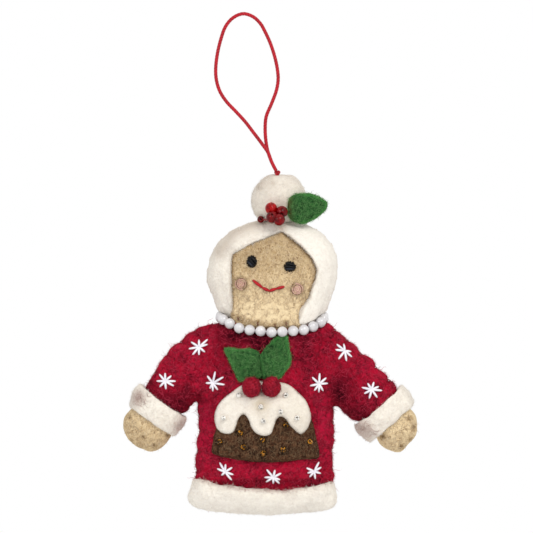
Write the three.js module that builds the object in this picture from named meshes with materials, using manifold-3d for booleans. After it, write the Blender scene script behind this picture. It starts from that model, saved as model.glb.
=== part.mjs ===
// A stuffed felt figure in a hooded Christmas jumper, hung from a loop of cord.
// Millimetres, +Z up, the figure faces -Y. The origin is the top of the cord loop, where a hook bears.
import * as THREE from 'three';
import { mergeVertices } from 'three/addons/utils/BufferGeometryUtils.js';
import Module from 'manifold-3d';

const wasm = await Module();
wasm.setup();

// Felts, threads and the room between pieces
const clearance = 0.3;
const cutOverrun = 3;
const feltThickness = 1.5;
const fleeceThickness = 2.5;
const patchThickness = 1.2;
const stitchThickness = 0.6;

// Cord and its knot
const cordDiameter = 1.25;
const knotDiameter = 2.4;

// Bobble, its leaf and glass beads
const bobbleDiameter = 19.2;
const knotProud = 0.7;
const bobbleSink = 2.5;
const bobbleLeafLength = 14.9;
const bobbleLeafWidth = 11.3;
const bobbleLeafLift = 0.7;
const glassBeadDiameter = 4;
const smallGlassBeadDiameter = 2.6;
const glassBeadBore = 0.9;

// Head and hood
const headWidth = 48.6;
const headHeight = 37;
const headDepth = 26;
const eyeWidth = 4;
const eyeHeight = 4.4;
const eyeProud = 1.5;
const cheekDiameter = 4.7;
const mouthWidth = 11;
const mouthDrop = 2.6;
const mouthStitchWidth = 1.1;

// String of pearls
const pearlDiameter = 4;
const pearlThreadDiameter = 0.7;
const pearlDroop = 6.4;

// Jumper: from cuff seam to cuff seam, from the neck to the hem seam, and through the chest
const jumperSpan = 94.7;
const jumperHeight = 59;
const jumperDepth = 24;
const snowflakeRadius = 3.4;
const snowflakeStitchWidth = 0.75;

// Christmas pudding on the chest
const puddingWidth = 40;
const puddingHeight = 30;
const berryDiameter = 6.8;
const seedBeadDiameter = 2;
const seedBeadBore = 0.7;

// The cord's route, in millimetres: up the left side, over the top and down behind its own start
const cordRoute = [
  [11.4, -0.8, -57.6], [9.9, -0.8, -54.6], [8.7, -0.8, -51.4], [6.5, -0.8, -48.2],
  [3.4, -0.5, -44.1], [0.1, 0, -39.8], [-3.3, 0, -36.1], [-6.7, 0, -32.5],
  [-9.1, 0, -28.8], [-10.4, 0, -24.7], [-10.7, 0, -20.6], [-10.1, 0, -15.0],
  [-8.7, 0, -9.1], [-7.1, 0, -4.8], [-4.9, 0, -2.0], [-2.3, 0, -0.4],
  [0, 0, 0], [3.3, 0, -1.2], [5.9, 0, -3.7], [7.5, 0, -6.5],
  [9.7, 0, -11.4], [11.4, 0, -16.9], [12.2, 0, -21.1], [12.4, 0, -24.4],
  [11.8, 0, -28.2], [9.9, 0, -33.4], [8.0, 0.2, -38.0], [7.6, 0.5, -42.3],
  [7.9, 0.8, -47.2], [8.6, 0.8, -50.9], [9.9, 0.8, -54.6], [11.4, 0.8, -57.6],
];
const knotPlace = new THREE.Vector3(12.1, 0, -58.9);

// Places of the big forms, each hung from the one above it
const bobbleShift = 0.2;
const headShift = -2.2;
const jumperShift = -0.7;
const bobblePlace = new THREE.Vector3(
  knotPlace.x + bobbleShift,
  0,
  knotPlace.z - knotProud - bobbleDiameter / 2,
);
const headPlace = new THREE.Vector3(
  bobblePlace.x + headShift,
  0,
  bobblePlace.z - bobbleDiameter / 2 + bobbleSink - headHeight / 2,
);
const neckPlace = new THREE.Vector3(headPlace.x + jumperShift, 0, headPlace.z - headHeight / 2);

// Solids

/** A closed geometry as a solid that can be cut and joined. */
function solid(geometry) {
  const bare = geometry.clone();
  for (const name of Object.keys(bare.attributes)) {
    if (name !== 'position') {
      bare.deleteAttribute(name);
    }
  }
  const merged = mergeVertices(bare);
  return new wasm.Manifold(new wasm.Mesh({
    numProp: 3,
    vertProperties: Float32Array.from(merged.attributes.position.array),
    triVerts: Uint32Array.from(merged.index.array),
  }));
}

/** The geometry of a solid. */
function geometryOf(body) {
  const mesh = body.getMesh();
  const geometry = new THREE.BufferGeometry();
  geometry.setAttribute('position', new THREE.BufferAttribute(Float32Array.from(mesh.vertProperties), 3));
  geometry.setIndex(new THREE.BufferAttribute(Uint32Array.from(mesh.triVerts), 1));
  geometry.computeVertexNormals();
  return geometry;
}

/** Joins solids into one. */
function join(bodies) {
  return bodies.reduce((whole, body) => whole.add(body));
}

/** The part of a solid between two heights or two depths: axis is 'y' or 'z'. */
function between(body, axis, low, high) {
  const reach = 2 * (jumperSpan + jumperHeight + headHeight);
  const size = axis === 'y' ? [reach, high - low, reach] : [reach, reach, high - low];
  const block = new THREE.BoxGeometry(...size);
  const centre = (low + high) / 2;
  if (axis === 'y') {
    block.translate(neckPlace.x, centre, neckPlace.z);
  } else {
    block.translate(neckPlace.x, 0, centre);
  }
  return body.intersect(solid(block));
}

const farAway = jumperSpan + jumperHeight;
const frontHalf = (body) => between(body, 'y', -farAway, -clearance / 2);
const backHalf = (body) => between(body, 'y', clearance / 2, farAway);
const aboveNeck = (body) => between(body, 'z', neckPlace.z + clearance / 2, neckPlace.z + farAway);
const belowNeck = (body) => between(body, 'z', neckPlace.z - farAway, neckPlace.z - clearance / 2);

/** A skin over rings with equal numbers of points, closed at both ends by a fan. */
function skinRings(rings) {
  const count = rings[0].length;
  const points = rings.flat();
  const ends = [rings[0], rings[rings.length - 1]].map((ring) => {
    const centre = new THREE.Vector3();
    ring.forEach((point) => centre.addScaledVector(point, 1 / count));
    return points.push(centre) - 1;
  });
  const triangles = [];
  for (let i = 0; i < count; i += 1) {
    const next = (i + 1) % count;
    for (let row = 0; row < rings.length - 1; row += 1) {
      const low = row * count;
      const high = low + count;
      triangles.push([low + i, low + next, high + i], [low + next, high + next, high + i]);
    }
    const last = (rings.length - 1) * count;
    triangles.push([ends[0], next, i], [ends[1], last + i, last + next]);
  }
  const volume = triangles.reduce((sum, [a, b, c]) => (
    sum + points[a].dot(points[b].clone().cross(points[c]))), 0);
  const outward = volume > 0 ? triangles : triangles.map(([a, b, c]) => [a, c, b]);
  const geometry = new THREE.BufferGeometry().setFromPoints(points);
  geometry.setIndex(outward.flat());
  return geometry;
}

// Stuffed forms

const plumpness = 2.3;
const plump = (value) => Math.sign(value) * Math.abs(value) ** (2 / plumpness);

/**
 * A stuffed limb as a ladder of rungs. Each rung is an oval ring between a high and a low edge point
 * of the outline, deep millimetres thick to either side of the seam; grow moves the whole skin out.
 */
function ladder(rungs, { grow = 0, overrun = 0, sides = 14 } = {}) {
  const middle = (rung) => rung.high.clone().add(rung.low).multiplyScalar(0.5);
  const beyond = (rung, inner) => {
    const step = middle(rung).sub(middle(inner)).setLength(overrun);
    return { ...rung, high: rung.high.clone().add(step), low: rung.low.clone().add(step) };
  };
  const last = rungs.length - 1;
  const all = overrun > 0
    ? [beyond(rungs[0], rungs[1]), ...rungs, beyond(rungs[last], rungs[last - 1])]
    : rungs;
  return skinRings(all.map((rung) => {
    const centre = middle(rung);
    const half = rung.high.clone().sub(centre);
    half.setLength(half.length() + grow);
    return Array.from({ length: sides }, (_, i) => {
      const angle = (2 * Math.PI * i) / sides;
      const along = plump(Math.cos(angle));
      return new THREE.Vector3(
        centre.x + half.x * along,
        -(rung.deep + grow) * plump(Math.sin(angle)),
        centre.y + half.y * along - (rung.sag ?? 0) * (1 - along * along),
      );
    });
  }));
}

/** A stuffed cushion: an outline round a centre, domed to the same depth in front and behind. */
function pillow(outline, centre, deep, grow) {
  const stepShares = [0.3, 0.55, 0.75, 0.9, 0.98];
  const ring = (share, side) => outline.map((point) => {
    const arm = point.clone().sub(centre);
    arm.setLength((arm.length() + grow) * share);
    const dome = (1 - share ** plumpness) ** (1 / plumpness);
    return new THREE.Vector3(centre.x + arm.x, side * (deep + grow) * dome, centre.y + arm.y);
  });
  const front = stepShares.map((share) => ring(share, -1));
  const back = stepShares.map((share) => ring(share, 1)).reverse();
  const body = skinRings([...front, ring(1, 0), ...back]);
  // The poles are the fans' centres, pushed out to the full depth.
  const poles = body.attributes.position;
  poles.setY(poles.count - 2, -(deep + grow));
  poles.setY(poles.count - 1, deep + grow);
  return body;
}

/** A flat shape in the front plane, as a prism from the seam forwards. */
function prism(shape, depth = farAway) {
  const block = new THREE.ExtrudeGeometry(shape, { depth, bevelEnabled: false, curveSegments: 4 });
  return solid(block.rotateX(Math.PI / 2));
}

/** Shares of a width and a height about a place, as points of the front plane. */
function spread(shares, place, width, height) {
  return shares.map(([x, z]) => new THREE.Vector2(place.x + x * width, place.z + z * height));
}

/** The faces of some solids, to measure distances to them. */
function facesOf(...bodies) {
  return bodies.flatMap((body) => {
    const { vertProperties, triVerts } = body.getMesh();
    const corner = (i) => new THREE.Vector3().fromArray(vertProperties, 3 * triVerts[i]);
    const faces = [];
    for (let i = 0; i < triVerts.length; i += 3) {
      faces.push(new THREE.Triangle(corner(i), corner(i + 1), corner(i + 2)));
    }
    return faces;
  });
}

/** Where a ball that comes from a start in a direction comes to rest on the faces. */
function seat(faces, start, direction, radius) {
  const seatSteps = 60;
  const place = start.clone();
  const nearest = new THREE.Vector3();
  for (let step = 0; step < seatSteps; step += 1) {
    let distance = Infinity;
    for (const face of faces) {
      const reach = face.closestPointToPoint(place, nearest).distanceTo(place);
      if (reach < distance) {
        distance = reach;
      }
    }
    place.addScaledVector(direction, distance - radius - clearance);
  }
  return place;
}

const forwardStart = (x, z) => new THREE.Vector3(x, -farAway / 2, z);
const backwards = new THREE.Vector3(0, 1, 0);

// Materials

const felt = (color) => new THREE.MeshStandardMaterial({ color, roughness: 0.95, metalness: 0 });
const thread = (color) => new THREE.MeshStandardMaterial({ color, roughness: 0.6, metalness: 0 });
const bead = (color) => new THREE.MeshStandardMaterial({ color, roughness: 0.15, metalness: 0.1 });

const creamFelt = felt(0xf0e8d7);
const tanFelt = felt(0xd2b482);
const crimsonFelt = felt(0x96142d);
const greenFelt = felt(0x23783c);
const brownFelt = felt(0x5a412d);
const wadding = felt(0xf5f5f2);
const redCord = thread(0xc3192d);
const whiteThread = thread(0xf0e8f0);
const blackThread = thread(0x14141e);
const redThread = thread(0xbe1420);
const pinkThread = thread(0xc8828c);
const redGlass = bead(0xb4000f);
const clearGlass = bead(0xd8d8d8);
const amberGlass = bead(0x8c4a14);
const pearl = bead(0xebebf0);

const ornament = new THREE.Group();

/** Adds one named piece. */
function piece(name, geometry, material) {
  const mesh = new THREE.Mesh(geometry, material);
  mesh.name = name;
  ornament.add(mesh);
}

// Cord: a limp round cord whose two ends run down one behind the other into the knot

const cordSides = 8;
const cordSteps = 48;
const cordSection = new THREE.Shape(Array.from({ length: cordSides }, (_, i) => {
  const angle = (2 * Math.PI * i) / cordSides;
  return new THREE.Vector2(Math.cos(angle), Math.sin(angle)).multiplyScalar(cordDiameter / 2);
}));
const cordCurve = new THREE.CatmullRomCurve3(cordRoute.map((point) => new THREE.Vector3(...point)));
const cordTube = new THREE.ExtrudeGeometry(cordSection, {
  extrudePath: cordCurve,
  steps: cordSteps,
  bevelEnabled: false,
});
piece('hang_cord', geometryOf(solid(cordTube)), redCord);

/** A ball of so many segments round and from pole to pole. */
function ball(diameter, place, around, down) {
  const sphere = new THREE.SphereGeometry(diameter / 2, around, down);
  return sphere.rotateX(Math.PI / 2).translate(place.x, place.y, place.z);
}

const knotSides = 12;
const knotRings = 8;
piece('cord_knot', geometryOf(solid(ball(knotDiameter, knotPlace, knotSides, knotRings))), redCord);

// Hood and head: two domed felt panels round wadding, under a thick cream hood with a face opening

const headOutlineShares = [
  [-0.412, -0.433], [-0.457, -0.25], [-0.494, -0.12], [-0.5, -0.02], [-0.474, 0.129], [-0.412, 0.278],
  [-0.317, 0.393], [-0.203, 0.462], [-0.098, 0.495], [0.024, 0.5], [0.146, 0.487], [0.277, 0.451],
  [0.382, 0.37], [0.46, 0.255], [0.5, 0.106], [0.5, -0.043], [0.47, -0.215], [0.426, -0.376],
  [0.406, -0.44], [0.355, -0.51], [0.245, -0.645], [0, -0.745], [-0.242, -0.645], [-0.362, -0.51],
];
const faceOpeningShares = [
  [0.076, 0.388], [-0.186, 0.244], [-0.299, 0.164], [-0.31, 0.05], [-0.312, -0.158], [-0.299, -0.365],
  [-0.305, -0.7], [0.215, -0.7], [0.234, -0.365], [0.286, -0.273], [0.33, -0.089], [0.343, 0.003],
  [0.304, 0.118], [0.234, 0.221], [0.146, 0.325],
];
const headOutline = spread(headOutlineShares, headPlace, headWidth, headHeight);
const headCentre = new THREE.Vector2(headPlace.x, headPlace.z);
const headForm = (grow) => solid(pillow(headOutline, headCentre, headDepth / 2, grow));
const faceDepth = -(fleeceThickness + clearance);

const hoodForm = aboveNeck(headForm(0));
const hoodShell = hoodForm.subtract(headForm(-fleeceThickness));
const faceOpening = prism(new THREE.Shape(spread(faceOpeningShares, headPlace, headWidth, headHeight)));
const hoodFront = frontHalf(hoodShell).subtract(faceOpening);
const hoodBack = backHalf(hoodShell);
piece('hood_front', geometryOf(hoodFront), creamFelt);
piece('hood_back', geometryOf(hoodBack), creamFelt);

const headShell = aboveNeck(headForm(faceDepth)).subtract(headForm(faceDepth - feltThickness));
const headFront = frontHalf(headShell);
piece('head_front', geometryOf(headFront), tanFelt);
piece('head_back', geometryOf(backHalf(headShell)), tanFelt);
const headCore = aboveNeck(headForm(faceDepth - feltThickness - clearance));
piece('head_wadding', geometryOf(headCore), wadding);

/** A layer of thread or felt on the face, cut to a prism. */
function onFace(cutter, thickness) {
  return headForm(faceDepth + clearance + thickness).subtract(headForm(faceDepth + clearance))
    .intersect(cutter);
}

// Face: two knotted eyes, two spiral-stitched cheeks and a smile of back stitches

const eyeShares = { left: [-0.151, 0.09], right: [0.135, 0.042] };
const cheekShares = { left: [-0.234, -0.133], right: [0.192, -0.187] };
const faceFaces = facesOf(headFront);
for (const side of ['left', 'right']) {
  const [eye] = spread([eyeShares[side]], headPlace, headWidth, headHeight);
  const touch = seat(faceFaces, forwardStart(eye.x, eye.y), backwards, 0);
  const dome = new THREE.SphereGeometry(1, 12, 8).scale(eyeWidth / 2, eyeProud, eyeHeight / 2);
  dome.translate(touch.x, touch.y, touch.z);
  const eyeBody = frontHalf(solid(dome).subtract(headForm(faceDepth + clearance)));
  piece(`eye_${side}`, geometryOf(eyeBody), blackThread);

  const [cheek] = spread([cheekShares[side]], headPlace, headWidth, headHeight);
  const disc = new THREE.Shape().absarc(cheek.x, cheek.y, cheekDiameter / 2, 0, 2 * Math.PI);
  piece(`cheek_${side}`, geometryOf(onFace(prism(disc), stitchThickness)), pinkThread);
}

const mouthShares = [-0.03, -0.12];
const [mouthMiddle] = spread([mouthShares], headPlace, headWidth, headHeight);
const smileSteps = 6;
const smilePoints = Array.from({ length: smileSteps + 1 }, (_, i) => {
  const across = (2 * i) / smileSteps - 1;
  return new THREE.Vector2(
    mouthMiddle.x + (across * mouthWidth) / 2,
    mouthMiddle.y - mouthDrop * (1 - across * across),
  );
});
const smileShape = new THREE.Shape([
  ...smilePoints.map((point) => new THREE.Vector2(point.x, point.y + mouthStitchWidth / 2)),
  ...smilePoints.map((point) => new THREE.Vector2(point.x, point.y - mouthStitchWidth / 2)).reverse(),
]);
piece('mouth_stitches', geometryOf(onFace(prism(smileShape), stitchThickness)), redThread);

// Bobble: a felted ball sewn on the hood, with a dimple for the knot

const bobbleSides = 20;
const bobbleRings = 14;
const bobbleBall = solid(ball(bobbleDiameter, bobblePlace, bobbleSides, bobbleRings));
const knotDimple = solid(ball(knotDiameter + 2 * clearance, knotPlace, knotSides, knotRings));
const bobble = bobbleBall.subtract(headForm(clearance)).subtract(knotDimple);
piece('bobble', geometryOf(bobble), creamFelt);

const bobbleLeafShares = [
  [0, 0.28], [0.17, 0.47], [0.43, 0.57], [0.75, 0.5], [0.99, 0.28],
  [0.94, 0.01], [0.63, -0.3], [0.38, -0.41], [0.17, -0.37], [0, -0.32],
];
const bobbleLeafPlaceShares = [0.18, -0.21];
const bobbleLeafTurn = 0.14;
const leafShape = new THREE.Shape(bobbleLeafShares.map(([along, across]) => (
  new THREE.Vector2(along * bobbleLeafLength, across * bobbleLeafWidth))));
const [leafRoot] = spread([bobbleLeafPlaceShares], bobblePlace, bobbleDiameter, bobbleDiameter);
const leafTouch = seat(facesOf(bobble), forwardStart(leafRoot.x, leafRoot.y), backwards, 0);
const leafPlate = new THREE.ExtrudeGeometry(leafShape, { depth: feltThickness, bevelEnabled: false });
leafPlate.rotateX(Math.PI / 2).rotateZ(bobbleLeafTurn);
leafPlate.translate(leafTouch.x, leafTouch.y - bobbleLeafLift, leafTouch.z);
const roundBobble = solid(ball(bobbleDiameter + 2 * clearance, bobblePlace, bobbleSides, bobbleRings));
const bobbleLeaf = solid(leafPlate).subtract(roundBobble);
piece('bobble_leaf', geometryOf(bobbleLeaf), greenFelt);

/** A round bead with a bore, its ends cut flat. */
function boredBead(diameter, bore, place, turn, around) {
  const flatShare = 0.42;
  const shoulderShare = 0.34;
  const girthShare = 0.5;
  const profile = [
    [bore / 2, -flatShare * diameter],
    [shoulderShare * diameter - bore / 4, -flatShare * diameter],
    [girthShare * diameter, 0],
    [shoulderShare * diameter - bore / 4, flatShare * diameter],
    [bore / 2, flatShare * diameter],
    [bore / 2, -flatShare * diameter],
  ];
  const ring = new THREE.LatheGeometry(profile.map((point) => new THREE.Vector2(...point)), around);
  return ring.rotateZ(turn).translate(place.x, place.y, place.z);
}

const glassBeadShares = [[-0.13, -0.15], [0.09, -0.22], [-0.14, -0.34], [0.06, -0.42], [-0.33, -0.36]];
const glassRests = facesOf(bobble, hoodFront, bobbleLeaf);
glassBeadShares.forEach((share, i) => {
  const diameter = i < glassBeadShares.length - 1 ? glassBeadDiameter : smallGlassBeadDiameter;
  const [at] = spread([share], bobblePlace, bobbleDiameter, bobbleDiameter);
  const place = seat(glassRests, forwardStart(at.x, at.y), backwards, diameter / 2);
  const body = solid(boredBead(diameter, glassBeadBore, place, 1.1 * i, 10));
  piece(`glass_bead_${i + 1}`, geometryOf(body), redGlass);
  glassRests.push(...facesOf(body));
});

// Jumper: front and back felt panels with kimono sleeves, sewn round a stuffed body

const torsoShares = [
  [-0.184, 0.188, 0.03, 0.72], [-0.184, 0.188, -0.002, 0.75], [-0.254, 0.242, -0.034, 0.8],
  [-0.289, 0.277, -0.097, 0.88], [-0.301, 0.285, -0.197, 0.96], [-0.301, 0.281, -0.348, 1],
  [-0.283, 0.256, -0.498, 1], [-0.281, 0.248, -0.674, 0.97], [-0.285, 0.245, -0.806, 0.9],
  [-0.291, 0.248, -0.91, 0.82], [-0.289, 0.25, -1, 0.72], [-0.284, 0.245, -1.1, 0.5],
  [-0.27, 0.232, -1.16, 0.3],
];
const sleeveShares = {
  left: [
    [-0.16, -0.1, -0.19, -0.48, 0.7], [-0.27, -0.039, -0.283, -0.505, 0.84],
    [-0.335, -0.106, -0.292, -0.507, 0.83], [-0.393, -0.191, -0.3, -0.519, 0.8],
    [-0.442, -0.29, -0.31, -0.549, 0.76], [-0.484, -0.41, -0.327, -0.58, 0.7],
    [-0.492, -0.475, -0.366, -0.598, 0.56],
  ],
  right: [
    [0.15, -0.1, 0.18, -0.48, 0.7], [0.26, -0.065, 0.252, -0.535, 0.84],
    [0.339, -0.172, 0.262, -0.538, 0.83], [0.405, -0.264, 0.277, -0.558, 0.8],
    [0.454, -0.356, 0.301, -0.599, 0.76], [0.496, -0.428, 0.333, -0.636, 0.7],
    [0.503, -0.498, 0.375, -0.65, 0.56],
  ],
};
const cuffShares = {
  left: [
    [-0.505, -0.384, -0.32, -0.6, 0.82], [-0.535, -0.44, -0.33, -0.657, 0.84],
    [-0.549, -0.53, -0.373, -0.727, 0.78],
  ],
  right: [
    [0.51, -0.388, 0.322, -0.644, 0.82], [0.545, -0.445, 0.34, -0.712, 0.84],
    [0.561, -0.507, 0.383, -0.762, 0.78],
  ],
};
const handShares = {
  left: [
    [-0.546, -0.566, -0.389, -0.716, 0.62], [-0.568, -0.611, -0.403, -0.762, 0.64],
    [-0.566, -0.683, -0.434, -0.803, 0.54], [-0.547, -0.75, -0.474, -0.822, 0.32],
  ],
  right: [
    [0.543, -0.561, 0.417, -0.718, 0.62], [0.568, -0.601, 0.432, -0.772, 0.64],
    [0.574, -0.67, 0.465, -0.809, 0.54], [0.562, -0.735, 0.503, -0.82, 0.32],
  ],
};
const hemShares = [
  [-0.298, 0.258, -1, 0.87], [-0.313, 0.266, -1.063, 0.83], [-0.325, 0.27, -1.125, 0.68],
  [-0.317, 0.268, -1.17, 0.46], [-0.29, 0.248, -1.2, 0.22],
];
const hemSagShare = 0.045;

/** Rungs of a limb from shares of the jumper's span and height and of half its depth. */
function rungsOf(shares) {
  return shares.map(([highX, highZ, lowX, lowZ, deep]) => {
    const [high, low] = spread([[highX, highZ], [lowX, lowZ]], neckPlace, jumperSpan, jumperHeight);
    return { high, low, deep: (deep * jumperDepth) / 2 };
  });
}

const levelShares = (shares) => shares.map(([left, right, z, deep]) => [left, z, right, z, deep]);
const torsoRungs = rungsOf(levelShares(torsoShares));
const sleeveRungs = { left: rungsOf(sleeveShares.left), right: rungsOf(sleeveShares.right) };

/** The jumper's skin, grown or shrunk; an overrun carries it on past the sleeve ends and the hem. */
function jumperForm(grow, overrun = 0) {
  return join([
    solid(ladder(torsoRungs, { grow, overrun, sides: 20 })),
    solid(ladder(sleeveRungs.left, { grow, overrun })),
    solid(ladder(sleeveRungs.right, { grow, overrun })),
  ]);
}

const jumperShell = belowNeck(jumperForm(0)).subtract(jumperForm(-feltThickness, cutOverrun));
const jumperFront = frontHalf(jumperShell);
const jumperBack = backHalf(jumperShell);
piece('jumper_front', geometryOf(jumperFront), crimsonFelt);
piece('jumper_back', geometryOf(jumperBack), crimsonFelt);
const bodyCore = belowNeck(jumperForm(-feltThickness - clearance));
piece('body_wadding', geometryOf(bodyCore), wadding);

// Hem: a cream band folded under the body's lower edge

const hemRungs = rungsOf(levelShares(hemShares)).map((rung) => (
  { ...rung, sag: hemSagShare * jumperHeight }));
const hemTrim = solid(ladder(hemRungs, { sides: 20 })).subtract(jumperForm(clearance));
piece('hem_trim', geometryOf(hemTrim), creamFelt);

// Arms: a stuffed hand starts where the sleeve ends, and a cuff wraps round both

for (const side of ['left', 'right']) {
  const sleeve = sleeveRungs[side];
  const wrist = sleeve[sleeve.length - 1];
  const step = wrist.high.clone().add(wrist.low).multiplyScalar(0.5);
  const sleeveSeam = sleeve[sleeve.length - 2];
  step.sub(sleeveSeam.high.clone().add(sleeveSeam.low).multiplyScalar(0.5)).setLength(clearance * 1.6);
  const root = { ...wrist, high: wrist.high.clone().add(step), low: wrist.low.clone().add(step) };
  const handRungs = [root, ...rungsOf(handShares[side])];
  piece(`hand_${side}`, geometryOf(solid(ladder(handRungs))), tanFelt);

  const arm = solid(ladder([...sleeve, ...handRungs], { grow: clearance }));
  const cuff = solid(ladder(rungsOf(cuffShares[side]), { sides: 18 }));
  piece(`cuff_${side}`, geometryOf(cuff.subtract(arm)), creamFelt);
}

// Pudding: brown felt with cream icing over it, sewn on the chest under two leaves and two berries

const puddingPlaceShares = [-0.02, -0.63];
const [puddingMiddle] = spread([puddingPlaceShares], neckPlace, jumperSpan, jumperHeight);
const puddingPlace = new THREE.Vector3(puddingMiddle.x, 0, puddingMiddle.y);
const onPudding = (shares) => spread(shares, puddingPlace, puddingWidth, puddingHeight);

const puddingBaseShares = [
  [-0.4, 0.24], [-0.448, -0.088], [-0.494, -0.343], [-0.487, -0.395], [-0.294, -0.462],
  [-0.065, -0.498], [0.166, -0.498], [0.357, -0.467], [0.496, -0.446], [0.504, -0.395],
  [0.473, -0.19], [0.4, 0.13], [0.26, 0.35], [-0.03, 0.43], [-0.25, 0.35],
];
const icingShares = [
  [-0.028, 0.51], [-0.203, 0.456], [-0.294, 0.383], [-0.387, 0.281], [-0.448, 0.179],
  [-0.468, 0.025], [-0.441, -0.088], [-0.387, -0.144], [-0.303, -0.133], [-0.264, -0.057],
  [-0.233, 0.056], [-0.195, 0.091], [-0.156, 0.036], [-0.126, -0.067], [-0.08, -0.149],
  [-0.011, -0.174], [0.051, -0.149], [0.081, -0.067], [0.112, 0.025], [0.135, 0.056],
  [0.181, 0.046], [0.228, -0.047], [0.281, -0.119], [0.335, -0.149], [0.389, -0.098],
  [0.423, 0.015], [0.419, 0.127], [0.373, 0.251], [0.296, 0.373], [0.212, 0.456], [0.13, 0.495],
];
const puddingLeafShares = {
  left: [
    [-0.372, 0.898], [-0.24, 0.902], [-0.091, 0.886], [-0.064, 0.848], [-0.061, 0.573],
    [-0.198, 0.53], [-0.256, 0.551], [-0.306, 0.694], [-0.339, 0.793],
  ],
  right: [
    [0.198, 1.046], [0.132, 1.036], [0.091, 0.991], [0.008, 0.925], [-0.05, 0.848],
    [-0.044, 0.683], [-0.04, 0.551], [0.141, 0.551], [0.215, 0.649], [0.24, 0.77], [0.223, 0.925],
  ],
};

/** A layer of felt or thread that follows the jumper, from a height above it, cut to an outline. */
function onJumper(points, from, thickness) {
  return jumperForm(from + thickness).subtract(jumperForm(from)).intersect(prism(new THREE.Shape(points)));
}

const puddingBase = onJumper(onPudding(puddingBaseShares), clearance, patchThickness);
const icingHeight = 2 * clearance + patchThickness;
const icing = onJumper(onPudding(icingShares), icingHeight, patchThickness);
const puddingLeaves = ['left', 'right'].map((side) => (
  onJumper(onPudding(puddingLeafShares[side]), clearance, feltThickness)));
piece('pudding_base', geometryOf(puddingBase), brownFelt);
piece('pudding_icing', geometryOf(icing), creamFelt);
piece('pudding_leaf_left', geometryOf(puddingLeaves[0]), greenFelt);
piece('pudding_leaf_right', geometryOf(puddingLeaves[1]), greenFelt);

const berryShares = { left: [-0.124, 0.419], right: [0.062, 0.423] };
const berrySides = 14;
const berryRings = 9;
const berryRests = facesOf(icing, ...puddingLeaves);
for (const side of ['left', 'right']) {
  const [at] = onPudding([berryShares[side]]);
  const place = seat(berryRests, forwardStart(at.x, at.y), backwards, berryDiameter / 2);
  const body = solid(ball(berryDiameter, place, berrySides, berryRings));
  piece(`berry_${side}`, geometryOf(body), crimsonFelt);
  berryRests.push(...facesOf(body));
}

const silverBeadShares = [
  [-0.241, 0.322], [0.193, 0.322], [-0.038, 0.179], [-0.38, 0.041], [0.296, 0.041], [0.146, 0.12],
  [-0.015, 0.005],
];
const amberBeadShares = [
  [-0.226, -0.144], [0.193, -0.042], [-0.022, -0.235], [-0.418, -0.257], [0.416, -0.252],
  [-0.199, -0.319], [0.169, -0.348], [-0.015, -0.395],
];

const seedBeadTurn = 0.9;
const seedBeadSides = 8;

/** Seed beads sewn flat on the felt, each on its own place and turned a little. */
function sewBeads(name, shares, cloth, material) {
  const rests = facesOf(cloth);
  onPudding(shares).forEach((at, i) => {
    const place = seat(rests, forwardStart(at.x, at.y), backwards, seedBeadDiameter / 2);
    const body = boredBead(seedBeadDiameter, seedBeadBore, place, seedBeadTurn * i, seedBeadSides);
    piece(`${name}_${i + 1}`, geometryOf(solid(body)), material);
  });
}

sewBeads('silver_bead', silverBeadShares, icing, clearGlass);
sewBeads('amber_bead', amberBeadShares, puddingBase.add(icing), amberGlass);

// Snowflakes: eight straight stitches from one hole

const snowflakeShares = [
  [-0.276, -0.165], [-0.408, -0.377], [-0.222, -0.389], [0.291, -0.187], [0.191, -0.394],
  [0.396, -0.431], [-0.175, -0.94], [0.012, -0.975], [0.172, -0.937],
];
const snowflakeArms = 8;
const snowflakeTurn = 0.2;
const armTurn = (2 * Math.PI) / snowflakeArms;
const crotchRadius = snowflakeStitchWidth / 2 / Math.sin(armTurn / 2);
spread(snowflakeShares, neckPlace, jumperSpan, jumperHeight).forEach((at, i) => {
  const points = [];
  for (let arm = 0; arm < snowflakeArms; arm += 1) {
    const angle = armTurn * arm + snowflakeTurn * i;
    const along = new THREE.Vector2(Math.cos(angle), Math.sin(angle));
    const aside = new THREE.Vector2(-along.y, along.x).multiplyScalar(snowflakeStitchWidth / 2);
    const tip = along.clone().multiplyScalar(snowflakeRadius).add(at);
    const crotch = new THREE.Vector2(Math.cos(angle + armTurn / 2), Math.sin(angle + armTurn / 2));
    points.push(tip.clone().sub(aside), tip.clone().add(aside));
    points.push(crotch.multiplyScalar(crotchRadius).add(at));
  }
  piece(`snowflake_${i + 1}`, geometryOf(onJumper(points, clearance, stitchThickness)), whiteThread);
});

// Pearls: a closed string that lies in the crease of the neck and droops on the chest

const pearlGuideCount = 32;
const pearlDroopPower = 1.5;
const pearlSides = 8;
const pearlRings = 4;
const pearlRests = facesOf(hoodFront, hoodBack, jumperFront, jumperBack, ...puddingLeaves);
const pearlRadius = pearlDiameter / 2;
const pearlGuides = Array.from({ length: pearlGuideCount }, (_, i) => {
  const angle = (2 * Math.PI * i) / pearlGuideCount;
  const inward = new THREE.Vector3(-Math.cos(angle), -Math.sin(angle), 0);
  const droop = pearlDroop * Math.max(0, -Math.sin(angle)) ** pearlDroopPower;
  const height = neckPlace.z + pearlRadius + clearance - droop;
  const start = new THREE.Vector3(headPlace.x, 0, height).addScaledVector(inward, -headWidth);
  return seat(pearlRests, start, inward, pearlRadius);
});
const pearlCurve = new THREE.CatmullRomCurve3(pearlGuides, true);
const pearlCount = Math.floor(pearlCurve.getLength() / pearlDiameter);
const pearlPlaces = pearlCurve.getSpacedPoints(pearlCount).slice(0, pearlCount);
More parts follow.
